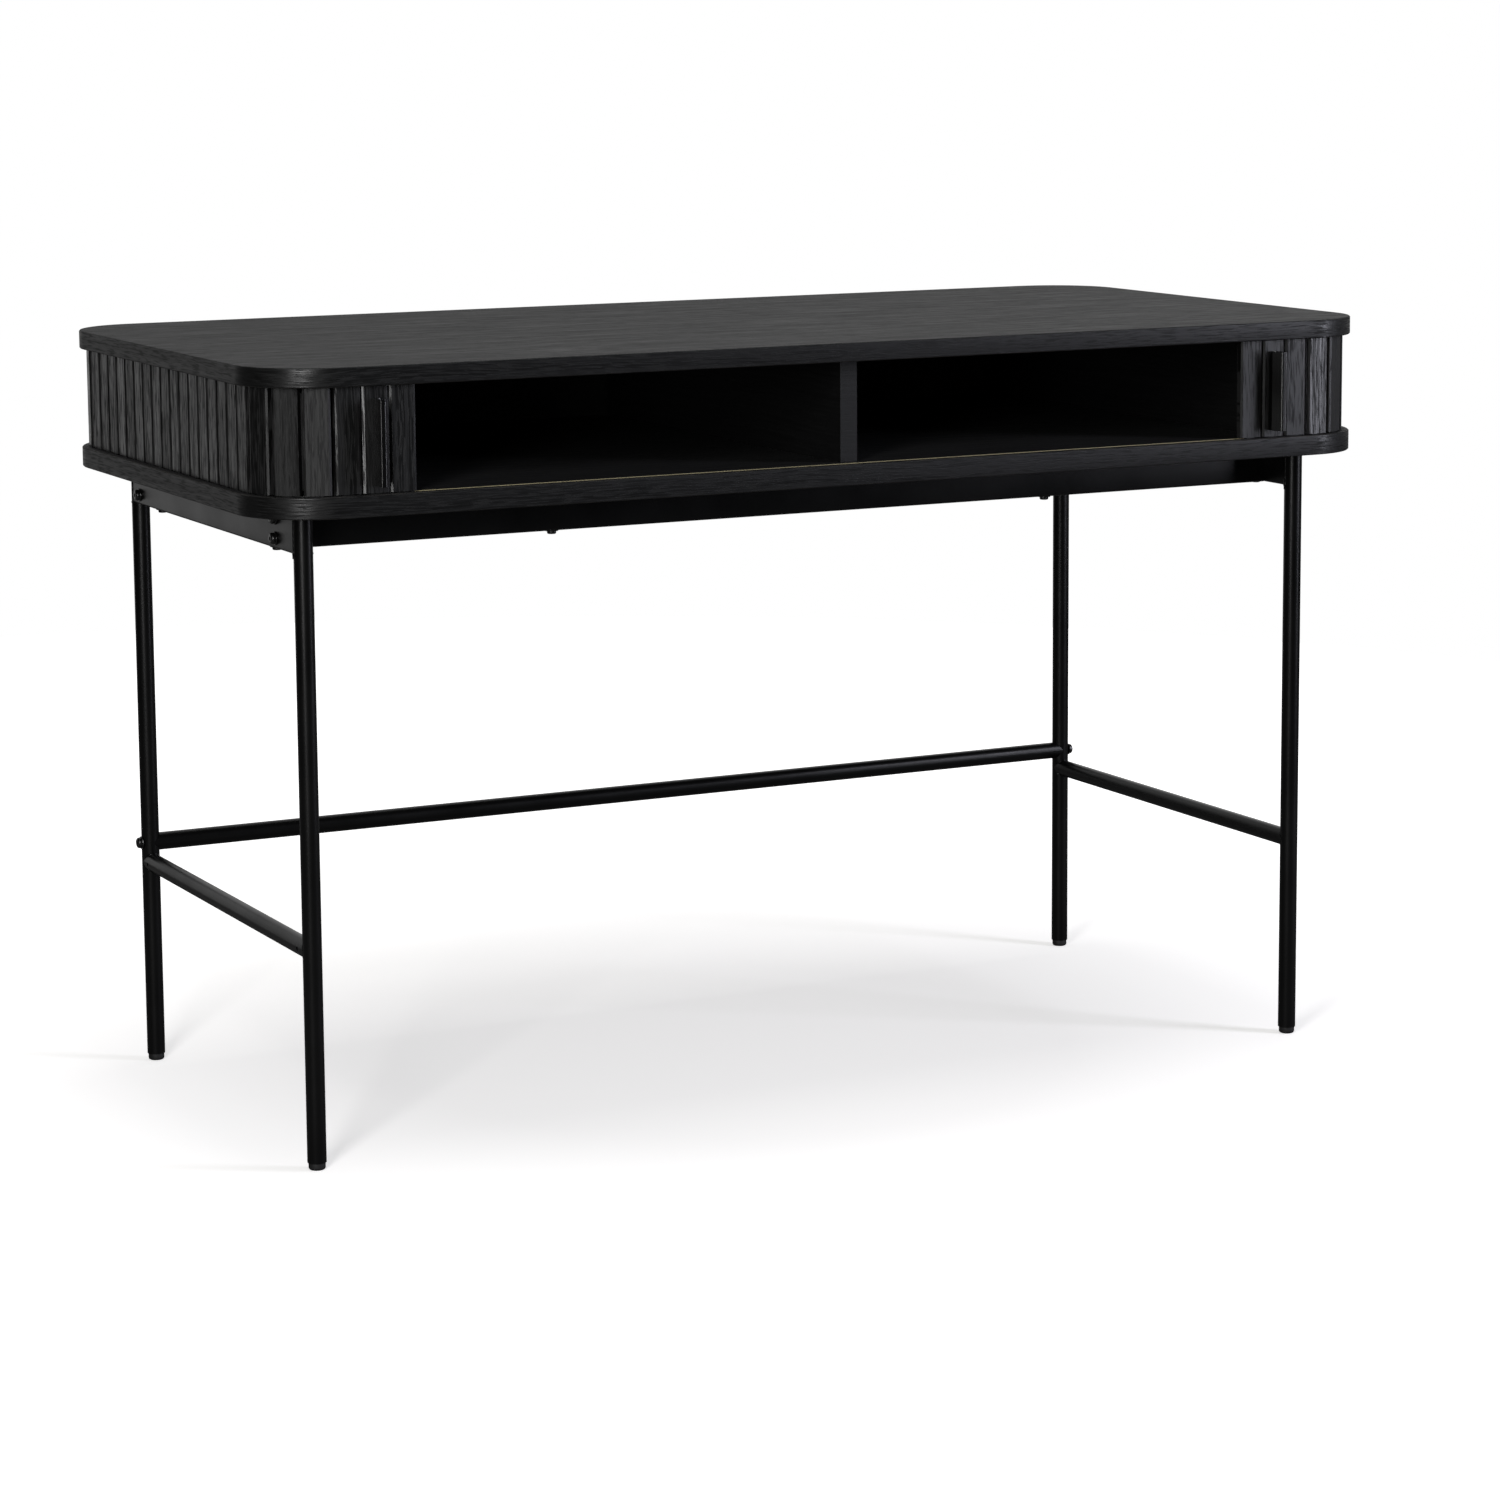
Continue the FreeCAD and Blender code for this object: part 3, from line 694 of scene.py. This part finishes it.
def socket_bolt(shank_length, head):
    """A bolt that points down, with the underside of its head at the origin."""
    radius, height = head["radius"], head["height"]
    lay_down_all()
    bpy.ops.mesh.primitive_cylinder_add(vertices=36, radius=radius, depth=height, location=(0, 0, height / 2))
    bolt = new_piece("socket_bolt")
    shape(bolt)
    choose(bolt, "EDGE", lambda e: min(v.co.z for v in e.verts) > height - slack)
    bpy.ops.mesh.bevel(offset=head["dome"], segments=5, affect="EDGES")
    choose(bolt, "FACE", lambda f: f.normal.z < -square_on)
    bpy.ops.mesh.inset(thickness=radius - bolt_shank_radius)
    bpy.ops.mesh.extrude_region_move(TRANSFORM_OT_translate={"value": (0, 0, -shank_length)})
    done()
    lay_down_all()
    bpy.ops.mesh.primitive_cylinder_add(vertices=6, radius=socket_radius, depth=2 * socket_depth,
                                        location=(0, 0, height))
    key = new_piece("socket_key")
    lay_down_all()
    bolt.select_set(True)
    bpy.context.view_layer.objects.active = bolt
    cut = bolt.modifiers.new("socket", "BOOLEAN")
    cut.operation = "DIFFERENCE"
    cut.object = key
    bpy.ops.object.modifier_apply(modifier=cut.name)
    bpy.data.objects.remove(key)
    clean(bolt)
    return bolt


def middle(node):
    """The middle of a node's box."""
    low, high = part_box(node)
    return (low + high) / 2


def bolts_at(name, shank_length, head, places, outward, node):
    """A set of bolts whose heads stand on washers at these places, each facing its own way out."""
    first = socket_bolt(shank_length + washer_thickness, head)
    turns = [way.to_track_quat("Z", "Y").to_matrix().to_4x4() for way in outward]
    seats = [Matrix.Translation(place + way * washer_thickness) for place, way in zip(places, outward)]
    copies = [copy_to(first, seat @ turn) for seat, turn in zip(seats, turns)]
    bpy.data.objects.remove(first)
    hand_over(join_all(name, copies), "black_bolts", "desk", node)


def make_bolts():
    """Bolts through the side rails, through the rear legs and up into the bottom panel."""
    rail_low, rail_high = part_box("right_side_rail")
    leg = middle("right_rear_leg")
    rail_ys = [middle("front_rail").y, middle("rear_rail").y]
    rail_middle = (rail_low.z + rail_high.z) / 2
    heights = [rail_middle + s * rail_bolt_spacing / 2 for s in (-1, 1)]
    outer = rail_high.x
    places = [Vector((s * outer, y, z)) for s in (-1, 1) for y in rail_ys for z in heights]
    ways = [Vector((math.copysign(1, p.x), 0, 0)) for p in places]
    bolts_at("rail_socket_bolts", rail_width + end_plate, wide_head, places, ways, "rail_bolts")
    stretcher = middle("rear_stretcher")
    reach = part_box("right_rear_leg")[1].x
    places = [Vector((s * reach, stretcher.y, stretcher.z)) for s in (-1, 1)]
    ways = [Vector((math.copysign(1, p.x), 0, 0)) for p in places]
    length = leg_width + plug_length - plug_end_gap
    bolts_at("stretcher_socket_bolts", length, wide_head, places, ways, "stretcher_bolts")
    front_leg = middle("right_front_leg")
    side_ys = [front_leg.y + side_panel_bolt_inset, leg.y - side_panel_bolt_inset]
    places = [Vector((s * leg.x, y, rail_low.z)) for s in (-1, 1) for y in side_ys]
    places += [Vector((s * rail_panel_bolt_spacing / 2, y, rail_low.z)) for s in (-1, 1) for y in rail_ys]
    ways = [Vector((0, 0, -1)) for p in places]
    bolts_at("panel_socket_bolts", panel_bolt_length, low_head, places, ways, "panel_bolts")


# Feet: a rounded plastic glide with its plug in the leg

glide_round = 2.4 * MM
glide_lip = 0.5 * MM
glide_plug_inset = 0.6 * MM


def foot_glide(node, name):
    """A glide with a rounded sole, and the plug that goes up into the leg."""
    low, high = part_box(node)
    leg_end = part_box(node.replace("foot", "leg"))[0].z
    radius = (high.x - low.x) / 2
    centre = (low + high) / 2
    lay_down_all()
    bpy.ops.mesh.primitive_cylinder_add(vertices=48, radius=radius, depth=leg_end - low.z,
                                        location=(centre.x, centre.y, (leg_end + low.z) / 2))
    glide = new_piece(name)
    shape(glide)
    choose(glide, "EDGE", lambda e: max(v.co.z for v in e.verts) < low.z + slack)
    bpy.ops.mesh.bevel(offset=glide_round, segments=5, affect="EDGES")
    choose(glide, "EDGE", lambda e: min(v.co.z for v in e.verts) > leg_end - slack)
    bpy.ops.mesh.bevel(offset=glide_lip, segments=2, affect="EDGES")
    choose(glide, "FACE", lambda f: f.normal.z > square_on)
    bpy.ops.mesh.inset(thickness=glide_plug_inset)
    bpy.ops.mesh.extrude_region_move(TRANSFORM_OT_translate={"value": (0, 0, high.z - leg_end)})
    done()
    clean(glide)
    hand_over(glide, "foot_plastic", "desk", node)


# Welds of the frame: beads where rails and stretchers meet the legs

bead = 1.1 * MM
bead_ripple = 0.1
bead_ripples = 46
bead_least_share = 0.3
bead_flat_shares = (0.7, 1.5)
upright_ripple_run = 9 * MM
seam_inset = 1.8 * MM
weld_drop = 4.2 * MM
weld_top_gap = 0.3 * MM


def ripple_at(turn):
    """How much a bead swells or narrows at this turn."""
    return 1 + bead_ripple * math.sin(bead_ripples * turn)


def saddle_weld(leg_centre, height, radius, inward):
    """A bead along the saddle where a stretcher meets a leg of the same size."""
    lay_down_all()
    bpy.ops.mesh.primitive_torus_add(major_radius=radius, minor_radius=bead, major_segments=72,
                                     minor_segments=8, rotation=(math.pi / 2, 0, 0))
    weld = new_piece("saddle_weld")
    for vertex in weld.data.vertices:
        turn = math.atan2(vertex.co.z, vertex.co.x)
        on_ring = Vector((radius * math.cos(turn), 0, radius * math.sin(turn)))
        swell = bead_least_share + (1 - bead_least_share) * abs(math.sin(turn))
        size = swell * ripple_at(turn)
        saddle = Vector((0, inward * radius * abs(math.sin(turn)), 0))
        vertex.co = on_ring + (vertex.co - on_ring) * size + saddle
    weld.data.transform(Matrix.Translation((leg_centre.x, leg_centre.y, height)))
    return weld


def upright_weld(x, y, low, high):
    """A flat bead up the side of a rail's end."""
    lay_down_all()
    bpy.ops.mesh.primitive_cylinder_add(vertices=12, radius=bead, depth=high - low)
    weld = new_piece("upright_weld")
    shape(weld)
    choose(weld, "EDGE", lambda e: abs(e.verts[0].co.z - e.verts[1].co.z) > (high - low) / 2)
    bpy.ops.mesh.subdivide(number_cuts=40)
    done()
    flat_x, flat_y = bead_flat_shares
    for vertex in weld.data.vertices:
        size = ripple_at(vertex.co.z / upright_ripple_run)
        vertex.co = Vector((vertex.co.x * flat_x * size, vertex.co.y * flat_y * size, vertex.co.z))
    weld.data.transform(Matrix.Translation((x, y, (low + high) / 2)))
    return weld


def under_weld(leg_centre, height, radius, inward):
    """A half ring under a rail's end, round the leg."""
    lay_down_all()
    bpy.ops.mesh.primitive_torus_add(major_radius=radius, minor_radius=bead, major_segments=72,
                                     minor_segments=8)
    weld = new_piece("under_weld")
    shape(weld)
    bpy.ops.mesh.select_all(action="SELECT")
    bpy.ops.mesh.bisect(plane_co=(0, 0, 0), plane_no=(0, -inward, 0), clear_outer=True, use_fill=True)
    done()
    for vertex in weld.data.vertices:
        turn = math.atan2(vertex.co.y, vertex.co.x)
        on_ring = Vector((radius * math.cos(turn), radius * math.sin(turn), 0))
        vertex.co = on_ring + (vertex.co - on_ring) * ripple_at(turn)
    weld.data.transform(Matrix.Translation((leg_centre.x, leg_centre.y, height)))
    return weld


def make_welds():
    """All beads of the frame, as one piece."""
    parts = []
    for side in sides:
        rail_low, rail_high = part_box(side + "_side_rail")
        height = middle(side + "_side_stretcher").z
        for end, inward in (("front", 1), ("rear", -1)):
            leg_low, leg_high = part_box(side + "_" + end + "_leg")
            centre = (leg_low + leg_high) / 2
            radius = (leg_high.x - leg_low.x) / 2
            parts.append(saddle_weld(centre, height, radius, inward))
            seam = centre.y + inward * seam_inset
            for x in (rail_low.x, rail_high.x):
                parts.append(upright_weld(x, seam, rail_low.z - weld_drop, rail_high.z - weld_top_gap))
            parts.append(under_weld(centre, rail_low.z, radius, inward))
    for part in parts:
        clean(part, smooth_angle=60)
    hand_over(join_all("frame_welds", parts), "frame_paint", "desk")


# Curtains: the line of the slat backs, from the lead edge round to the tail

slat_low_z = 634.8 * MM
slat_high_z = 731.2 * MM
slat_thickness = 7 * MM
slat_width = slat_pitch - slat_gap
slat_bevel_run = 2.1 * MM
slat_bevel_depth = 1.25 * MM
tongue_width = 10 * MM
tongue_thickness = 3.6 * MM
tongue_length = 5.2 * MM
canvas_thickness = 0.7 * MM
canvas_margin = 4 * MM
canvas_tuck = 0.3 * MM
canvas_step = 0.7 * MM
canvas_clearance = 0.05 * MM
facing_step = 1 * MM
door_slats = 3
curtain_slats = 44
back_line_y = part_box("left_lead_slat")[1].y


def curtain_point(side, distance, depth):
    """A point on the curtain, this far from its lead edge and this deep behind the backs of its slats."""
    sign = sides[side]
    near, far = -arc_y + panel_middle_y, arc_y + panel_middle_y
    radius = curtain_radius - depth
    left_over = distance - (arc_x - lead_edge[side])
    if left_over < 0:
        return sign * (arc_x + left_over), near - radius
    arc = curtain_radius * math.pi / 2
    if left_over < arc:
        turn = left_over / curtain_radius
        return sign * (arc_x + radius * math.sin(turn)), near - radius * math.cos(turn)
    left_over -= arc
    if left_over < 2 * arc_y:
        return sign * (arc_x + radius), near + left_over
    left_over -= 2 * arc_y
    if left_over < arc:
        turn = left_over / curtain_radius
        return sign * (arc_x + radius * math.cos(turn)), far + radius * math.sin(turn)
    return sign * (arc_x - (left_over - arc)), far + radius


def tambour_slat(width):
    """An upright slat with its back at the origin: shallow bevels in front, a tongue at both ends."""
    lay_down_all()
    bpy.ops.mesh.primitive_cube_add(size=1, scale=(width, slat_thickness, slat_high_z - slat_low_z),
                                    location=(0, -slat_thickness / 2, (slat_low_z + slat_high_z) / 2))
    slat = new_piece("tambour_slat")
    shape(slat)
    choose(slat, "EDGE", lambda e: max(v.co.y for v in e.verts) < -slat_thickness / 2
           and abs(e.verts[0].co.z - e.verts[1].co.z) > slat_thickness)
    bpy.ops.mesh.bevel(offset=slat_bevel_run, segments=1, affect="EDGES")
    shoulder = slat_bevel_run - slat_thickness
    choose(slat, "EDGE", lambda e: max(abs(v.co.y - shoulder) for v in e.verts) < slack)
    bpy.ops.transform.translate(value=(0, slat_bevel_depth - slat_bevel_run, 0))
    for way, end in ((1, slat_high_z), (-1, slat_low_z)):
        choose(slat, "FACE", lambda f: f.normal.z * way > square_on)
        bpy.ops.mesh.inset(thickness=(slat_thickness - tongue_thickness) / 2)
        across = width - slat_thickness + tongue_thickness
        bpy.ops.transform.resize(value=(tongue_width / across, 1, 1),
                                 center_override=(0, -slat_thickness / 2, end))
        bpy.ops.mesh.extrude_region_move(TRANSFORM_OT_translate={"value": (0, 0, way * tongue_length)})
    done()
    clean(slat, smooth_angle=20)
    return slat


slat_runs = {
    "left": {"lead_slat": 1, "handle_slat": 1, "front_slats": 1, "corner_slats": 3, "side_slats": 17,
             "back_corner_slats": 4, "back_slats": 17},
    "right": {"lead_slat": 1, "handle_slat": 1, "front_slats": 1, "corner_slats": 4, "side_slats": 17,
              "back_corner_slats": 3, "back_slats": 17},
}


def slat_seat(side, count):
    """Where a slat's back stands on the curtain, and which way it faces."""
    distance = count * slat_pitch + slat_width / 2
    back = Vector((*curtain_point(side, distance, 0), 0))
    inward = Vector((*curtain_point(side, distance, facing_step), 0)) - back
    return Matrix.Translation(back) @ inward.to_track_quat("Y", "Z").to_matrix().to_4x4()


def make_slats():
    """The slats of both curtains, one piece for each CAD node."""
    slat = tambour_slat(slat_width)
    for side, runs in slat_runs.items():
        first = 0
        for run, amount in runs.items():
            node = side + "_" + run
            copies = [copy_to(slat, slat_seat(side, first + i)) for i in range(amount)]
            hand_over(join_all(node + "_bevelled", copies), "slat_oak", body_of[node], node)
            first += amount
    bpy.data.objects.remove(slat)


def canvas_strip(name, side, first, last):
    """Canvas glued to the backs of these slats; it tucks in a little at each gap."""
    start = first * slat_pitch
    length = (last - first) * slat_pitch - slat_gap
    height = slat_high_z - slat_low_z - 2 * canvas_margin
    lay_down_all()
    bpy.ops.mesh.primitive_grid_add(x_subdivisions=round(length / canvas_step), y_subdivisions=4, size=1)
    strip = new_piece(name)
    for vertex in strip.data.vertices:
        distance = start + (vertex.co.x + 0.5) * length
        into_gap = distance % slat_pitch - (slat_pitch - slat_gap)
        tuck = math.sin(math.pi * max(into_gap, 0) / slat_gap) * canvas_tuck
        x, y = curtain_point(side, distance, canvas_thickness / 2 + canvas_clearance + tuck)
        vertex.co = Vector((x, y, slat_low_z + canvas_margin + (vertex.co.y + 0.5) * height))
    clean(strip, smooth_angle=80)
    wall = strip.modifiers.new("cloth", "SOLIDIFY")
    wall.thickness = canvas_thickness
    wall.offset = 0
    bpy.ops.object.modifier_apply(modifier=wall.name)
    return strip, (length, height)


def make_canvas():
    """The canvas behind each door, and behind the rest of each curtain."""
    for side in sides:
        strip, flat = canvas_strip(side + "_door_cloth", side, 0, door_slats)
        hand_over(strip, "curtain_canvas", side + "_door", side + "_door_canvas")
        strip, flat = canvas_strip(side + "_curtain_cloth", side, door_slats, curtain_slats)
        hand_over(strip, "curtain_canvas", "desk", side + "_curtain_canvas")


# Curtain paid out behind each door: built folded into the first gap as at rest; the real one spreads along the
# front when the door closes

paid_slats = 17
fold_width = 0.3 * MM
fold_clearance = 0.2 * MM
fold_steps = 6


def fold_share(moved):
    """The place in the fold, from 0 to 1, that moves by this share of the door's travel.

    This is the inverse of the smooth step 3 s^2 - 2 s^3.
    """
    return 0.5 - math.sin(math.asin(1 - 2 * moved) / 3)


def paid_out_curtain(side):
    """Slats and canvas that fill the front behind a closed door, laid out along the front and then pressed into a
    narrow fold beside the door's trailing edge.
    """
    sign = sides[side]
    joint = next(j for j in frame["joints"] if j["child"] == side + "_door")
    travel = joint["range_m"][1]
    trailing = lead_edge[side] + door_slats * slat_pitch - slat_gap
    closed_edge = trailing - travel
    run = trailing - closed_edge
    pitch = run / paid_slats
    slat = tambour_slat(pitch - slat_gap)
    parts = []
    for i in range(paid_slats):
        x = closed_edge + (i + 0.5) * pitch + slat_gap / 2
        parts.append(copy_to(slat, Matrix.Translation((sign * x, back_line_y, 0))))
    bpy.data.objects.remove(slat)
    lay_down_all()
    cloth_height = slat_high_z - slat_low_z - 2 * canvas_margin
    cloth_place = (sign * (closed_edge + run / 2), back_line_y + canvas_thickness / 2 + canvas_clearance,
                   (slat_low_z + slat_high_z) / 2)
    bpy.ops.mesh.primitive_cube_add(size=1, scale=(run, canvas_thickness, cloth_height), location=cloth_place)
    cloth = new_piece("paid_cloth")
    shape(cloth)
    choose(cloth, "EDGE", lambda e: abs(e.verts[0].co.x - e.verts[1].co.x) > pitch)
    bpy.ops.mesh.subdivide(number_cuts=2 * paid_slats)
    done()
    parts.append(cloth)
    curtain = join_all(side + "_paid_out_curtain", parts)
    fold_start = trailing + fold_clearance + fold_width
    for vertex in curtain.data.vertices:
        wanted = abs(vertex.co.x)
        moved = 0.0
        for step in range(fold_steps):
            rest = fold_start - fold_width * fold_share(moved)
            moved = min(max((rest - wanted) / travel, 0.0), 1.0)
        vertex.co.x = sign * (fold_start - fold_width * fold_share(moved))
    hand_over(curtain, "slat_oak", None)
    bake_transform(curtain)


dress_nodes()
make_bolts()
for foot_place in ("left_front", "left_rear", "right_front", "right_rear"):
    foot_glide(foot_place + "_foot", foot_place + "_glide")
make_welds()
make_slats()
make_canvas()
for curtain_side in sides:
    paid_out_curtain(curtain_side)


# Floor, surround, lamps and camera

floor_radius = 2.4
floor_middle = Vector((0, 0.7, 0))
# The floor's glow rises from its middle outward: a painted falloff that narrows the desk's shadow
painted_floor_falloff = (0.44, 1.0)
painted_floor_falloff_run = (0.35, 1.5)
floor_shade = 0.88
floor_warmth = 0.02
floor_in_gloss = 0.04
floor_bounce = 0.1


def floor_material():
    """White to the camera apart from the desk's shadow and a painted falloff round it, dim to reflections, clear
    from below.
    """
    finish = Finish("pale_floor")
    tree_out = finish.nodes["Material Output"]
    finish.nodes.remove(finish.shader)
    path = finish.nodes.new("ShaderNodeLightPath")
    gloss = finish.math("MULTIPLY", path.outputs["Is Glossy Ray"], floor_in_gloss)
    seen = finish.math("MAXIMUM", path.outputs["Is Camera Ray"], gloss)
    seen = finish.math("MAXIMUM", seen, path.outputs["Is Transmission Ray"])
    matt = finish.nodes.new("ShaderNodeBsdfDiffuse")
    matt.inputs["Color"].default_value = grey(floor_bounce)
    glow = finish.nodes.new("ShaderNodeEmission")
    away = finish.nodes.new("ShaderNodeVectorMath")
    away.operation = "DISTANCE"
    finish.links.new(finish.place, away.inputs[0])
    away.inputs[1].default_value = -floor_middle
    # Painted falloff: less glow near the desk and full white further out, so the desk's shadow fades within a
    # short reach
    white = finish.between(away.outputs["Value"], *painted_floor_falloff_run, *painted_floor_falloff)
    finish.fill(glow.inputs["Strength"], white)
    shaded = finish.nodes.new("ShaderNodeBsdfDiffuse")
    shaded.inputs["Color"].default_value = grey(floor_shade, floor_warmth)
    both = finish.nodes.new("ShaderNodeAddShader")
    finish.links.new(glow.outputs[0], both.inputs[0])
    finish.links.new(shaded.outputs[0], both.inputs[1])
    top = finish.nodes.new("ShaderNodeMixShader")
    finish.fill(top.inputs[0], seen)
    finish.links.new(matt.outputs[0], top.inputs[1])
    finish.links.new(both.outputs[0], top.inputs[2])
    clear = finish.nodes.new("ShaderNodeBsdfTransparent")
    faces = finish.nodes.new("ShaderNodeMixShader")
    finish.fill(faces.inputs[0], finish.nodes.new("ShaderNodeNewGeometry").outputs["Backfacing"])
    finish.links.new(top.outputs[0], faces.inputs[1])
    finish.links.new(clear.outputs[0], faces.inputs[2])
    finish.links.new(faces.outputs[0], tree_out.inputs["Surface"])
    return finish.material


def lay_floor():
    """A round floor that belongs to the stage, not to the desk."""
    lay_down_all()
    bpy.ops.mesh.primitive_circle_add(vertices=96, radius=floor_radius, fill_type="NGON",
                                      location=floor_middle)
    floor = bpy.context.object
    floor.name = "floor"
    floor.data.materials.append(floor_material())


# Soft steps of the backdrop: direction, where it starts and ends, level before and after

backdrop_left = (Vector((0.866, 0.5, 0)), -0.1, 0.2, 0, 1)
backdrop_right = (Vector((-0.643, 0.766, 0)), -0.1, 0.3, 0, 1)
backdrop_level = (Vector((0.94, -0.342, 0)), 0.0, 0.35, 0.60, 1.35)
ambient_level = 0.14


def surround():
    """A studio that is white behind the desk and dim in front of it; the camera sees white all round."""
    world = bpy.context.scene.world or bpy.data.worlds.new("studio")
    bpy.context.scene.world = world
    world.use_nodes = True
    nodes = world.node_tree.nodes
    links = world.node_tree.links
    nodes.clear()
    way = nodes.new("ShaderNodeTexCoord").outputs["Generated"]

    def math_of(operation, first, second):
        node = nodes.new("ShaderNodeMath")
        node.operation = operation
        links.new(first, node.inputs[0])
        links.new(second, node.inputs[1])
        return node.outputs[0]

    def sweep(axis, low, high, out_low, out_high):
        """A soft step along a direction of the room."""
        toward = nodes.new("ShaderNodeVectorMath")
        toward.operation = "DOT_PRODUCT"
        links.new(way, toward.inputs[0])
        toward.inputs[1].default_value = axis
        step = nodes.new("ShaderNodeMapRange")
        step.interpolation_type = "SMOOTHSTEP"
        links.new(toward.outputs["Value"], step.inputs["Value"])
        limits = {"From Min": low, "From Max": high, "To Min": out_low, "To Max": out_high}
        for name, value in limits.items():
            step.inputs[name].default_value = value
        return step.outputs["Result"]

    backdrop = math_of("MULTIPLY", sweep(*backdrop_left), sweep(*backdrop_right))
    backdrop = math_of("MULTIPLY", backdrop, sweep(*backdrop_level))
    path = nodes.new("ShaderNodeLightPath")
    level = nodes.new("ShaderNodeMix")
    level.data_type = "FLOAT"
    links.new(path.outputs["Is Glossy Ray"], level.inputs[0])
    level.inputs[2].default_value = ambient_level
    links.new(backdrop, level.inputs[3])
    strength = level.outputs[0]
    for ray in ("Is Camera Ray", "Is Transmission Ray"):
        strength = math_of("MAXIMUM", strength, path.outputs[ray])
    sky = nodes.new("ShaderNodeBackground")
    sky.inputs["Color"].default_value = grey(1.0)
    links.new(strength, sky.inputs["Strength"])
    out = nodes.new("ShaderNodeOutputWorld")
    links.new(sky.outputs[0], out.inputs["Surface"])


lamp_target = Vector((0, 0, 0.55))
lamps = (
    {"name": "left_lamp", "azimuth": -43, "distance": 3.0, "height": 1.3, "width": 0.6, "tall": 2.0,
     "radiance": 12.5},
    {"name": "right_lamp", "azimuth": 50, "distance": 3.0, "height": 1.3, "width": 0.6, "tall": 2.0,
     "radiance": 10.4, "tint": (0.95, 0.96, 1.08)},
    {"name": "side_fill", "azimuth": 110, "distance": 3.0, "height": 1.3, "width": 3.0, "tall": 2.0,
     "radiance": 0.3},
    {"name": "top_lamp", "azimuth": 0, "distance": 0.01, "height": 3.4, "width": 1.4, "tall": 1.8,
     "radiance": 3.6},
)


def soft_box(name, azimuth, distance, height, width, tall, radiance, tint=(1, 1, 1)):
    """A soft lamp round the desk; azimuth 0 is straight in front and 90 on the right."""
    lamp = bpy.data.lights.new(name, "AREA")
    lamp.shape = "RECTANGLE"
    lamp.size = width
    lamp.size_y = tall
    lamp.color = tint
    lamp.energy = radiance * math.pi * width * tall
    holder = bpy.data.objects.new(name, lamp)
    bpy.context.scene.collection.objects.link(holder)
    turn = math.radians(azimuth)
    holder.location = (distance * math.sin(turn), -distance * math.cos(turn), height)
    holder.rotation_euler = (lamp_target - holder.location).to_track_quat("-Z", "Y").to_euler()
    holder.visible_camera = False


camera_place = Vector((-1.85438, -3.74119, 1.07199))
camera_azimuth = -27.113
camera_elevation = 8.251
camera_roll = -0.35
camera_lens = 99.43
camera_shift = (-0.01952, -0.1)


def aim_camera():
    """Sets the camera where the photograph was taken, with the roll of the picture."""
    data = bpy.data.cameras.new("photo_camera")
    data.lens = camera_lens
    data.shift_x, data.shift_y = camera_shift
    camera = bpy.data.objects.new("photo_camera", data)
    bpy.context.scene.collection.objects.link(camera)
    turn = math.radians(camera_azimuth)
    rise = math.radians(camera_elevation)
    roll = math.radians(camera_roll)
    ahead = Vector((-math.sin(turn) * math.cos(rise), math.cos(turn) * math.cos(rise), -math.sin(rise)))
    right = Vector((math.cos(turn), math.sin(turn), 0))
    up = right.cross(ahead)
    level_right = right * math.cos(roll) + up * math.sin(roll)
    level_up = up * math.cos(roll) - right * math.sin(roll)
    camera.matrix_world = Matrix.Translation(camera_place) @ Matrix(
        (level_right, level_up, -ahead)).transposed().to_4x4()
    bpy.context.scene.camera = camera


lay_floor()
surround()
for lamp_values in lamps:
    soft_box(**lamp_values)
aim_camera()
bpy.context.scene.view_settings.view_transform = "Standard"
